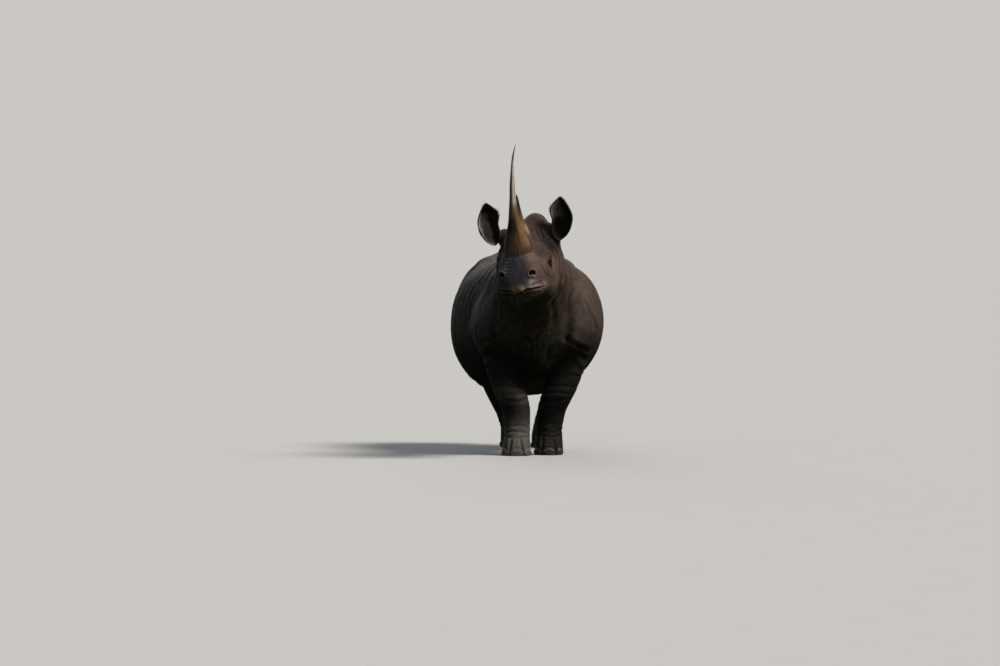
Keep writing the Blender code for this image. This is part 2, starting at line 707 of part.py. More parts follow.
def make_tail(rump):
    """The hanging tail and the flat tuft at its end."""
    skin = grown(rump)
    parts = (("tail", TAIL, TAIL_RINGS, "hide_tail"), ("tail_tuft", TAIL_TUFT, TUFT_RINGS, "bristle"))
    for name, rows, count, finish_name in parts:
        downwards = [(-height, *rest) for height, *rest in rows]
        rings = []
        for down, along, half_width, half_depth in spline_rows(downwards, count):
            ring = section(half_width, half_depth, half_depth, sides=TAIL_SIDES)
            rings.append([trunk_point(along + y, x, -down) for x, y in ring])
        bm = bmesh.new()
        add_loft(bm, rings)
        form = helper(mesh_object(name + "_form", bm))
        piece = cut(form, name, ("DIFFERENCE", skin))
        finish(piece, finish_name, HIDE_COLOUR, HIDE_ROUGHNESS)


def finish(piece, name, colour, roughness):
    """The piece's own material, and smooth faces."""
    material = bpy.data.materials.new(f"{piece.name}_{name}")
    material.use_nodes = True
    shader = material.node_tree.nodes["Principled BSDF"]
    shader.inputs["Base Color"].default_value = (*colour, 1)
    shader.inputs["Roughness"].default_value = roughness
    piece.data.materials.clear()
    piece.data.materials.append(material)
    piece.data.shade_smooth()


def settle():
    """Sets the middle of the whole body's box over the origin."""
    pieces = [o for o in bpy.data.objects if not o.hide_render]
    points = np.array([v.co for o in pieces for v in o.data.vertices])
    middle = (points.min(axis=0) + points.max(axis=0)) / 2
    for piece in pieces:
        piece.location = (-middle[0], -middle[1], 0)


def main():
    """Builds the body as one form, then parts it into its pieces."""
    for old in list(bpy.data.objects):
        bpy.data.objects.remove(old, do_unlink=True)
    frame = head_frame()
    flesh = whole_flesh(frame)
    fine = thinned(flesh, "fine", FINE_SHARE)
    coarse = thinned(flesh, "coarse", COARSE_SHARE)
    make_head(fine, frame)
    facing = frame.to_3x3() @ Vector((0, -1, 0))
    behind = half(coarse, "behind_head", frame @ Vector((0, HEAD_CUT, 0)), -facing)
    neck, trunk = halves(behind, *NECK_CUT, "neck", "trunk_form")
    show(neck)
    finish(neck, "hide_neck", HIDE_COLOUR, HIDE_ROUGHNESS)
    spaces = [leg_cutter(name, GAP) for name in STEPS]
    bare = helper(cut(trunk, "bare_trunk", *[("DIFFERENCE", space) for space in spaces]))
    chest_end, barrel_end = trunk_point(CHEST_END, 0, 1), trunk_point(BARREL_END, 0, 1)
    chest, rest = halves(bare, chest_end, forwards(), "chest", "rest")
    barrel, hind = halves(rest, barrel_end, forwards(), "barrel", "hindquarters")
    for piece in (chest, barrel, hind):
        show(piece)
        finish(piece, "hide_trunk", HIDE_COLOUR, HIDE_ROUGHNESS)
    for name in STEPS:
        make_leg(name, coarse)
    make_ears(frame, grown(fine), grown(behind))
    make_tail(coarse)
    settle()


main()
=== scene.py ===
import math

import bmesh
import bpy
import numpy as np
from mathutils import Matrix, Vector
from mathutils.bvhtree import BVHTree


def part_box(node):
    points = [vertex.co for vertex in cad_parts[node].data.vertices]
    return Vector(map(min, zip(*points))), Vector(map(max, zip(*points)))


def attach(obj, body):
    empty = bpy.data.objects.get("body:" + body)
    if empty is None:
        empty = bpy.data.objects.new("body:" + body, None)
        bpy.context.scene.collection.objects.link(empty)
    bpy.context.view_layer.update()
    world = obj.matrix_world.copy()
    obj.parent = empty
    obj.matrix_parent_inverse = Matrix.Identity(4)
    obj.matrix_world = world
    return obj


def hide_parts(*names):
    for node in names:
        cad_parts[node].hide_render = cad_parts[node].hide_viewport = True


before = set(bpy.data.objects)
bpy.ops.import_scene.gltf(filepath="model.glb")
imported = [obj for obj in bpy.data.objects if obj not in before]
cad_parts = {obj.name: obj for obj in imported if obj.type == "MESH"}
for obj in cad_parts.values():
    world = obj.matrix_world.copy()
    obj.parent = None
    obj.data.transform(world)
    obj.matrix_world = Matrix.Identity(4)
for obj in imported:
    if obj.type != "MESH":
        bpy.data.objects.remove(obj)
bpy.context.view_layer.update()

# The head's own frame: x to the animal's left, y back from the tip of the upper lip, z up.
head = {
    "yaw": math.radians(-12),
    "pitch": math.radians(5),
    "roll": math.radians(-5),
    "eyes": (0, 0.325, 0.126),
    "lipTip": Vector((-0.096, -1.04, 1.186)),
}


def boxMiddle(node):
    low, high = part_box(node)
    return (low + high) / 2


headTurn = (
    Matrix.Rotation(head["yaw"], 4, "Z")
    @ Matrix.Rotation(head["pitch"], 4, "X")
    @ Matrix.Rotation(head["roll"], 4, "Y")
)
eyesMiddle = (boxMiddle("eye_left") + boxMiddle("eye_right")) / 2
lipTip = eyesMiddle - headTurn @ Vector(head["eyes"])
# Everything below is measured from the floor under the fore feet; this is where that lies in the frame.
start = Vector((lipTip.x - head["lipTip"].x, lipTip.y - head["lipTip"].y, 0))
headFrame = Matrix.Translation(lipTip - start) @ headTurn
headBack = headFrame.inverted()
headInFrame = Matrix.Translation(start) @ headFrame
print("start", [round(v, 4) for v in start])


def ease(low, high, value):
    t = np.clip((value - low) / (high - low), 0, 1)
    return t * t * (3 - 2 * t)


def bell(value, width):
    return np.exp(-((value / width) ** 2))


# Noise between -1 and 1 from hashed lattice points, the same on every run.
def noise(points, seed):
    whole = np.floor(points).astype(np.int64)
    part = points - whole
    part = part * part * (3 - 2 * part)
    total = np.zeros(len(points))
    for corner in range(8):
        step = np.array([corner & 1, corner >> 1 & 1, corner >> 2 & 1])
        at = whole + step
        mixed = at @ np.array([374761393, 668265263, 1440662683]) + seed * 974634777 & 0xFFFFFFFF
        mixed = ((mixed ^ (mixed >> 13)) * 1274126177) & 0xFFFFFFFF
        value = ((mixed ^ (mixed >> 16)) & 0xFFFF) / 32767.5 - 1
        total += value * np.prod(np.where(step, part, 1 - part), axis=1)
    return total


def cloud(points, size, seed, octaves=3):
    total = sum(noise(points / size * 2**octave, seed + octave) / 2**octave for octave in range(octaves))
    return total / (2 - 2 ** (1 - octaves))


def makeObject(name, data):
    made = bpy.data.objects.new(name, data)
    bpy.context.scene.collection.objects.link(made)
    return made


def evaluatedMesh(made):
    bpy.context.view_layer.update()
    graph = bpy.context.evaluated_depsgraph_get()
    return bpy.data.meshes.new_from_object(made.evaluated_get(graph))


def throughModifiers(mesh, *steps):
    made = makeObject("passing", mesh)
    for kind, settings in steps:
        modifier = made.modifiers.new(kind.lower(), kind)
        for key, value in settings.items():
            setattr(modifier, key, value)
    result = evaluatedMesh(made)
    bpy.data.objects.remove(made)
    bpy.data.meshes.remove(mesh)
    return result


def remeshed(mesh, voxel, smoothing):
    return throughModifiers(
        mesh,
        ("REMESH", {"mode": "VOXEL", "voxel_size": voxel}),
        ("SMOOTH", {"factor": 0.5, "iterations": smoothing}),
    )


def meshFrom(bm, name):
    mesh = bpy.data.meshes.new(name)
    bm.to_mesh(mesh)
    bm.free()
    return mesh


def readOut(items, key, width, kind=np.float64):
    values = np.empty(len(items) * width, kind)
    items.foreach_get(key, values)
    return values.reshape(-1, width)


def pointsOf(mesh):
    return readOut(mesh.vertices, "co", 3)


def normalsOf(mesh):
    return readOut(mesh.vertex_normals, "vector", 3)


def edgesOf(mesh):
    return readOut(mesh.edges, "vertices", 2, np.int32)


def setPoints(mesh, co):
    mesh.vertices.foreach_set("co", np.ascontiguousarray(co, np.float32).ravel())
    mesh.update()


def store(mesh, name, values, kind="FLOAT", key="value"):
    layer = mesh.attributes.new(name, kind, "POINT")
    layer.data.foreach_set(key, np.ascontiguousarray(values, np.float32).ravel())


def storeColours(mesh, colours):
    values = np.column_stack([np.clip(colours, 0, 1), np.ones(len(colours))])
    store(mesh, "markings", values, "FLOAT_COLOR", "color")


def moved(points, matrix):
    matrix = np.array(matrix)
    return points @ matrix[:3, :3].T + matrix[:3, 3]


def spotAt(points, centre, radii):
    return np.exp(-(((points - np.array(centre)) / np.array(radii)) ** 2).sum(axis=1))


# The skin: one surface over every node of flesh.
skinPiece = {
    "coarseVoxel": 0.01,
    "blendSteps": 14,
    "trunkSteps": 110,
    "overlap": 0.0006,
    "fineVoxel": 0.0045,
    "fineSteps": 3,
    "triangles": 188000,
    "keepFactor": 0.0002,
}
trunkNodes = ["neck", "chest", "barrel", "hindquarters", "tail", "head", "lower_jaw"]
legParts = ("foreleg_{}_upper", "foreleg_{}_lower", "hindleg_{}_upper", "hindleg_{}_lower", "forefoot_{}")
legNodes = [part.format(side) for side in ("left", "right") for part in (*legParts, "hindfoot_{}")]
earNodes = ["ear_left", "ear_right"]


def fleshCopy(names, overlap=0.0):
    bm = bmesh.new()
    for name in names:
        bm.from_mesh(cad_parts[name].data)
    bmesh.ops.remove_doubles(bm, verts=bm.verts[:], dist=0.00001)
    bmesh.ops.recalc_face_normals(bm, faces=bm.faces[:])
    bm.normal_update()
    for vert in bm.verts:
        vert.co += vert.normal * overlap - start
    return meshFrom(bm, "flesh")


def largestPiece(mesh):
    bm = bmesh.new()
    bm.from_mesh(mesh)
    left = set(bm.verts)
    best = set()
    while left:
        island, edge = set(), [left.pop()]
        while edge:
            vert = edge.pop()
            island.add(vert)
            for link in vert.link_edges:
                other = link.other_vert(vert)
                if other in left:
                    left.remove(other)
                    edge.append(other)
        if len(island) > len(best):
            best = island
    bmesh.ops.delete(bm, geom=[v for v in bm.verts if v not in best], context="VERTS")
    bm.to_mesh(mesh)
    bm.free()


def relax(co, edges, weight, steps):
    count = np.maximum(np.bincount(edges.ravel(), minlength=len(co)), 1)
    share = 0.5 * weight
    for _ in range(steps):
        for axis in range(3):
            column = co[:, axis]
            total = np.bincount(edges[:, 0], column[edges[:, 1]], len(co))
            total += np.bincount(edges[:, 1], column[edges[:, 0]], len(co))
            co[:, axis] = column + share * (total / count - column)
    return co


body = fleshCopy(trunkNodes + legNodes, skinPiece["overlap"])
body = remeshed(body, skinPiece["coarseVoxel"], skinPiece["blendSteps"])
print("body blended:", len(body.vertices), "points")

# Long smoothing takes the solids' flat facets off the trunk.
co = pointsOf(body)
x, y, z = co.T
onTrunk = ease(0.1, 0.45, y) * ease(0.42, 0.6, z) * ease(1.8, 1.62, y)
onShoulder = 0.35 * ease(-0.45, -0.2, y) * ease(0.5, 0.3, y) * ease(0.55, 0.75, z)
onNeck = 0.2 * ease(-0.62, -0.5, y) * ease(0.9, 1.0, z)
onTail = ease(1.6, 1.66, y) * ease(0.085, 0.055, np.abs(x + 0.12))
weight = np.clip(onTrunk + onShoulder + onNeck, 0, 1) * (1 - 0.9 * onTail)
co = relax(co, edgesOf(body), weight, skinPiece["trunkSteps"])
setPoints(body, co)

# Where the model is looked at from, in metres from the floor under the fore feet.
camera = {
    "place": (-0.217, -60.0, 2.506),
    "lens": 308.57,
    "sensor": 36.0,
    "tilt": math.radians(1.5772),
    "near": 1.0,
    "far": 1500.0,
}


# Lines of sight, each a place and a way, from the two numbers that a view gives a place on the skin.
def fromFront(x, z):
    eye = Vector(camera["place"])
    return eye, (Vector((x, 0, z)) - eye).normalized()


def fromCheek(side, back, up):
    return headFrame @ Vector((side * 0.6, back, up)), headFrame.to_3x3() @ Vector((-side, 0, 0))


sights = {
    "front": fromFront,
    "left": lambda y, z: (Vector((2, y, z)), Vector((-1, 0, 0))),
    "right": lambda y, z: (Vector((-2, y, z)), Vector((1, 0, 0))),
    "rear": lambda x, z: (Vector((x, 3, z)), Vector((0, -1, 0))),
    "cheekLeft": lambda back, up: fromCheek(1, back, up),
    "cheekRight": lambda back, up: fromCheek(-1, back, up),
}


def smoothPath(points, step):
    points = [np.array(p) for p in points if p is not None]
    if len(points) < 2:
        return np.array(points).reshape(-1, 3)
    ends = [2 * points[0] - points[1]] + points + [2 * points[-1] - points[-2]]
    made = []
    for a, b, c, d in zip(ends, ends[1:], ends[2:], ends[3:]):
        count = max(2, int(np.linalg.norm(c - b) / step))
        for t in np.arange(count) / count:
            square = (2 * a - 5 * b + 4 * c - d) * t**2
            cube = (3 * b - a - 3 * c + d) * t**3
            made.append(0.5 * (2 * b + (c - a) * t + square + cube))
    made.append(points[-1])
    return np.array(made)


foldShape = {"reach": 4.2, "bankAway": 1.7, "bankWidth": 1.15, "endHeight": 0.15, "fullCrease": 0.012}


# A sculpture collects moves along the skin's normals, and how deep in a crease each point lies.
class Sculpture:
    def __init__(self, mesh):
        self.mesh = mesh
        self.tree = BVHTree.FromPolygons([v.co for v in mesh.vertices], [p.vertices for p in mesh.polygons])
        self.co = pointsOf(mesh)
        self.normals = normalsOf(mesh)
        self.move = np.zeros(len(self.co))
        self.crease = np.zeros(len(self.co))
        self.count = 0

    def meets(self, place, way):
        return self.tree.ray_cast(place, way)[0]

    def look(self, view, a, b):
        return self.meets(*sights[view](a, b))

    def near(self, low, high):
        return np.flatnonzero(((self.co > low) & (self.co < high)).all(axis=1))

    def swell(self, centre, radii, height):
        if centre is None:
            return
        centre, radii = np.array(centre), np.array(radii) * np.ones(3)
        at = self.near(centre - 2.4 * radii, centre + 2.4 * radii)
        self.move[at] += height * spotAt(self.co[at], centre, radii)

    def deepen(self, at, amount):
        self.crease[at] = np.maximum(self.crease[at], amount)

    # One groove along a path, with a bank on both sides; widths are shares of the groove's own.
    def fold(self, points, depth, width, lip=0.45, wobble=0.35, step=0.012):
        self.count += 1
        path = smoothPath(points, step)
        size = len(path)
        if size < 4:
            return
        dice = np.random.default_rng(self.count)
        shares = np.linspace(0, 1, size)
        drift = np.interp(shares, np.linspace(0, 1, size // 5 + 3), dice.normal(0, 1, size // 5 + 3))
        strength = np.interp(shares, np.linspace(0, 1, size // 6 + 3), dice.uniform(0.6, 1.2, size // 6 + 3))
        along = np.gradient(path, axis=0)
        along /= np.linalg.norm(along, axis=1)[:, None] + 1e-9
        reach = foldShape["reach"] * width
        at = self.near(path.min(axis=0) - reach, path.max(axis=0) + reach)
        if not len(at):
            return
        co = self.co[at]
        best = np.full(len(at), np.inf)
        where = np.zeros(len(at))
        closest = np.zeros((len(at), 3))
        heading = np.zeros((len(at), 3))
        for k, (a, b) in enumerate(zip(path, path[1:])):
            ab = b - a
            t = np.clip((co - a) @ ab / (ab @ ab + 1e-12), 0, 1)
            spot = a + t[:, None] * ab
            away = ((co - spot) ** 2).sum(axis=1)
            nearer = away < best
            best[nearer] = away[nearer]
            where[nearer] = (k + t)[nearer] / (size - 1)
            closest[nearer] = spot[nearer]
            heading[nearer] = along[k]
        across = np.cross(heading, self.normals[at])
        signed = ((co - closest) * across).sum(axis=1)
        beyond = np.sqrt(np.maximum(best - signed**2, 0))
        signed = signed + wobble * width * np.interp(where, shares, drift)
        ends = ease(0, 0.16, where) * ease(1, 0.84, where)
        ends = foldShape["endHeight"] + (1 - foldShape["endHeight"]) * ends
        ends = ends * np.exp(-((beyond / width) ** 2) * 0.6)
        power = ends * np.interp(where, shares, strength)
        groove = bell(signed, width) * power
        away, wide = foldShape["bankAway"] * width, foldShape["bankWidth"] * width
        banks = bell(signed - away, wide) * power + bell(signed + away, wide) * power
        self.move[at] += depth * (lip * banks - groove)
        if depth > 0:
            self.deepen(at, groove * min(1, 0.45 + depth / foldShape["fullCrease"]))

    # A fold whose path is drawn on the skin from one side; where the skin jumps, the fold breaks off.
    def draw(self, view, points, depth, width, jump=0.13, **more):
        run = []
        for a, b in self.denser(points):
            spot = self.look(view, a, b)
            if run and (spot is None or (spot - run[-1]).length > jump):
                self.fold(run, depth, width, **more)
                run = []
            if spot is not None:
                run.append(spot)
        self.fold(run, depth, width, **more)

    def denser(self, points):
        made = []
        for a, b in zip(points, points[1:]):
            made += [a, ((a[0] + b[0]) / 2, (a[1] + b[1]) / 2)]
        return made + [points[-1]]

    def bothSides(self, views, points, depth, width, **more):
        for view in views:
            self.draw(view, points, depth, width, **more)

    def finish(self, deepest=0.018, highest=0.012):
        move = np.clip(self.move, -deepest, highest)
        setPoints(self.mesh, self.co + self.normals * move[:, None])


# Bones and muscles under the skin of both sides: place along and up, reach (across, along, up), height.
bodyForms = (
    ((-0.13, 0.9), (0.12, 0.11, 0.12), 0.016),
    ((0.1, 0.86), (0.14, 0.13, 0.13), 0.016),
    ((-0.02, 1.18), (0.12, 0.07, 0.2), 0.01),
    ((-0.2, 1.22), (0.12, 0.06, 0.14), -0.012),
    ((0.16, 1.22), (0.12, 0.05, 0.15), -0.008),
    ((0.4, 1.12), (0.14, 0.06, 0.24), -0.012),
    ((0.72, 0.88), (0.2, 0.24, 0.24), 0.012),
    ((1.02, 1.21), (0.15, 0.1, 0.1), -0.022),
    ((1.14, 1.32), (0.12, 0.07, 0.06), 0.022),
    ((1.1, 0.98), (0.15, 0.07, 0.16), -0.012),
    ((1.34, 1.03), (0.15, 0.14, 0.17), 0.018),
    ((1.5, 1.16), (0.12, 0.08, 0.09), 0.012),
    ((1.45, 0.8), (0.15, 0.08, 0.09), 0.01),
)
sculpt = Sculpture(body)
for (along, up), reach, height in bodyForms:
    for view in ("left", "right"):
        sculpt.swell(sculpt.look(view, along, up), reach, height)
x, y, z = co.T
# The spine, and the ribs as soft upright waves that lean back at their lower ends.
spine = bell(x - (0.035 - 0.07 * y), 0.05) * ease(0.15, 0.4, y) * ease(1.6, 1.3, y) * ease(1.2, 1.3, z)
knobs = 0.9 + 0.1 * np.cos(2 * math.pi * y / 0.075 + 2 * noise(co / 0.2, 8))
sculpt.move += 0.011 * spine * knobs
ribs = np.cos(2 * math.pi * (y + 0.12 * (z - 0.95)) / 0.082 + 0.8 * noise(co / 0.3, 5))
onRibs = ease(0.46, 0.6, y) * ease(1.06, 0.94, y) * ease(0.55, 0.72, z) * ease(1.33, 1.16, z)
sculpt.move += 0.0019 * ribs * onRibs * (1 + 0.7 * noise(co / 0.22, 7))
sculpt.move += 0.0045 * cloud(co, 0.26, 11, 2) * ease(0.35, 0.6, z)
sculpt.finish(0.05, 0.05)
print("bones and muscles placed")

# Ears: height above the lowest point, outward shift, half width, depth of the cup.
earPiece = {
    "rows": (
        (0.0, 0.0, 0.01, 0.008),
        (0.02, 0.003, 0.038, 0.034),
        (0.05, 0.01, 0.059, 0.052),
        (0.1, 0.022, 0.071, 0.06),
        (0.15, 0.031, 0.074, 0.058),
        (0.2, 0.022, 0.073, 0.05),
        (0.245, 0.019, 0.056, 0.036),
        (0.28, 0.026, 0.028, 0.02),
        (0.302, 0.031, 0.005, 0.006),
    ),
    "out": {1: 0.209, -1: 0.258},
    "back": 0.575,
    "low": 0.262,
    "turn": math.radians(14),
    "rimForward": 0.35,
    "rimAngle": math.asin(0.35),
    "wall": 0.0085,
    "floor": 0.022,
    "closedTip": 0.02,
    "rings": 64,
    "steps": 34,
}


def smoothRows(rows, count):
    rows = np.array(rows, float)
    keys = rows[:, 0]
    slopes = np.gradient(rows, keys, axis=0)
    at = np.linspace(keys[0], keys[-1], count)
    first = np.clip(np.searchsorted(keys, at) - 1, 0, len(keys) - 2)
    span = (keys[first + 1] - keys[first])[:, None]
    s = (at - keys[first])[:, None] / span
    begin = (2 * s**3 - 3 * s**2 + 1) * rows[first] + (s**3 - 2 * s**2 + s) * span * slopes[first]
    end = (3 * s**2 - 2 * s**3) * rows[first + 1] + (s**3 - s**2) * span * slopes[first + 1]
    return begin + end


def earPlace(side):
    spot = Matrix.Translation((side * earPiece["out"][side], earPiece["back"], earPiece["low"]))
    return headFrame @ spot @ Matrix.Rotation(earPiece["turn"], 4, "Z")


def roundedRim(a, b):
    a, b = Vector(a), Vector(b)
    middle, arm = (a + b) / 2, (a - b) / 2
    out = Vector((0, -arm.length))
    return [tuple(middle + arm * math.cos(t) + out * math.sin(t)) for t in (0.5, 1.05, 1.57, 2.1, 2.65)]


def earMesh(side):
    lip, wall = earPiece["rimAngle"], earPiece["wall"]
    angles = np.linspace(-lip, math.pi + lip, earPiece["steps"])
    top = earPiece["rows"][-1][0]
    bm = bmesh.new()
    loops = []
    for height, shift, half, depth in smoothRows(earPiece["rows"], earPiece["rings"]):
        opened = min(max(height / earPiece["floor"], 0), max((top - height) / earPiece["closedTip"], 0), 1)
        outer = [(half * math.cos(a), depth * math.sin(a)) for a in angles]
        thinHalf, thinDepth = max(half - wall, 0.001), max(depth - wall, 0.001)
        chord = -depth * earPiece["rimForward"]
        inner = []
        for a in angles[::-1]:
            ridge = 0.003 * math.cos(9 * a) * math.sin(a) ** 2 * opened * min(height / 0.1, 1)
            y = (thinDepth - max(ridge, -0.001)) * math.sin(a)
            inner.append((thinHalf * math.cos(a), chord + (y - chord) * opened))
        loop = outer + roundedRim(outer[-1], inner[0]) + inner + roundedRim(inner[-1], outer[0])
        loops.append([bm.verts.new((side * shift + x, y, height)) for x, y in loop])
    for a, b in zip(loops, loops[1:]):
        for k in range(len(a)):
            n = (k + 1) % len(a)
            bm.faces.new((a[k], a[n], b[n], b[k]))
    for loop in (loops[0], loops[-1]):
        bm.faces.new(loop)
    bmesh.ops.triangulate(bm, faces=[f for f in bm.faces if len(f.verts) > 4])
    bmesh.ops.recalc_face_normals(bm, faces=bm.faces[:])
    bm.transform(earPlace(side))
    return meshFrom(bm, "ear")


body = remeshed(body, skinPiece["fineVoxel"], skinPiece["fineSteps"])
largestPiece(body)
withEars = makeObject("withEars", body)
for side in (1, -1):
    joining = withEars.modifiers.new("ear", "BOOLEAN")
    joining.operation = "UNION"
    joining.solver = "MANIFOLD"
    joining.object = makeObject("ear", earMesh(side))
body = evaluatedMesh(withEars)
for made in [withEars] + [m.object for m in withEars.modifiers]:
    bpy.data.objects.remove(made)
print("body joined to its ears:", len(body.vertices), "points")


def refine(mesh, chosen):
    bm = bmesh.new()
    bm.from_mesh(mesh)
    bm.verts.ensure_lookup_table()
    edges = [e for e in bm.edges if chosen[e.verts[0].index] and chosen[e.verts[1].index]]
    bmesh.ops.subdivide_edges(bm, edges=edges, cuts=1, use_grid_fill=True)
    bmesh.ops.triangulate(bm, faces=[f for f in bm.faces if len(f.verts) > 4])
    bm.to_mesh(mesh)
    bm.free()


eyeAt = {side: headBack @ (boxMiddle(node) - start) for side, node in ((1, "eye_left"), (-1, "eye_right"))}
nostrilAt = {side: Vector((side * 0.112, 0.02, 0.094)) for side in (1, -1)}


def distance(points, spot):
    return np.linalg.norm(points - np.array(spot), axis=1)


u, v, w = moved(pointsOf(body), headBack).T
refine(body, (v < 0.46) & (w > -0.12) & (w < 0.26) & (v > -0.1))
local = moved(pointsOf(body), headBack)
closeUp = np.zeros(len(local), bool)
for side in (1, -1):
    closeUp |= distance(local, eyeAt[side]) < 0.036
    closeUp |= distance(local, nostrilAt[side]) < 0.040
refine(body, closeUp)
co, edges = pointsOf(body), edgesOf(body)
u, v, w = moved(co, headBack).T
# The joint of each ear with the head is worn smooth.
atEar = np.zeros(len(co))
for side in (1, -1):
    inEar = moved(co, earPlace(side).inverted())
    inEar[:, 0] *= side
    away = distance(inEar * (1, 0.8, 1), (-0.01, 0.045, 0.05))
    atEar = np.maximum(atEar, ease(0.085, 0.055, away) * (inEar[:, 1] > 0.012))
co = relax(co, edges, np.clip(atEar + 0.6 * ease(0.5, 0.4, v) * ease(0.3, 0.25, w), 0, 1), 4)
setPoints(body, co)
print("face refined:", len(co), "points")

sculpt = Sculpture(body)
sides = ("left", "right")
cheeks = ("cheekLeft", "cheekRight")
# Folds of the trunk and legs, along and up, drawn on both sides.
sideFolds = (
    (((-0.60, 1.55), (-0.555, 1.42), (-0.535, 1.28), (-0.50, 1.14)), 0.006, 0.011, 0.5),
    (((-0.46, 1.62), (-0.475, 1.45), (-0.475, 1.25), (-0.43, 1.05), (-0.38, 0.93)), 0.011, 0.016, 0.5),
    (((-0.31, 1.57), (-0.37, 1.38), (-0.385, 1.18), (-0.345, 0.98), (-0.30, 0.86)), 0.012, 0.018, 0.5),
    (((-0.22, 1.42), (-0.275, 1.30), (-0.30, 1.16)), 0.006, 0.013, 0.5),
    (((-0.10, 1.45), (-0.20, 1.26), (-0.265, 1.06), (-0.265, 0.88), (-0.22, 0.74)), 0.013, 0.022, 0.5),
    (((0.30, 1.42), (0.355, 1.22), (0.365, 1.00), (0.325, 0.80), (0.25, 0.64)), 0.015, 0.022, 0.55),
    (((0.45, 1.20), (0.455, 1.02), (0.42, 0.86), (0.36, 0.73)), 0.006, 0.014, 0.5),
    (((0.38, 0.70), (0.31, 0.62), (0.25, 0.575)), 0.007, 0.012, 0.5),
    (((-0.17, 0.735), (-0.08, 0.685), (0.03, 0.675), (0.13, 0.70), (0.21, 0.76)), 0.013, 0.018, 0.55),
    (((-0.12, 0.64), (-0.04, 0.605), (0.06, 0.605), (0.13, 0.635)), 0.006, 0.012, 0.45),
    (((-0.10, 0.565), (-0.02, 0.545), (0.07, 0.555)), 0.004, 0.010, 0.45),
    (((1.17, 1.36), (1.115, 1.20), (1.07, 1.02), (1.06, 0.90)), 0.007, 0.020, 0.45),
    (((0.97, 0.99), (1.02, 0.83), (1.065, 0.68), (1.12, 0.57), (1.16, 0.50)), 0.015, 0.022, 0.55),
    (((0.90, 0.80), (0.95, 0.68), (1.02, 0.58)), 0.006, 0.014, 0.45),
    (((1.14, 0.66), (1.24, 0.62), (1.33, 0.63)), 0.007, 0.014, 0.45),
    (((1.20, 0.56), (1.29, 0.545), (1.38, 0.56)), 0.005, 0.011, 0.45),
    (((1.52, 1.18), (1.515, 1.02), (1.475, 0.86), (1.43, 0.74)), 0.008, 0.020, 0.45),
    (((1.60, 1.10), (1.60, 0.98), (1.57, 0.88)), 0.005, 0.013, 0.45),
    (((0.42, 0.56), (0.60, 0.50), (0.80, 0.485), (0.96, 0.53)), 0.005, 0.018, 0.4),
    (((0.55, 1.40), (0.52, 1.30), (0.53, 1.18)), 0.003, 0.012, 0.4),
)
for points, depth, width, lip in sideFolds:
    sculpt.bothSides(sides, points, 0.85 * depth, 1.3 * width, lip=lip)

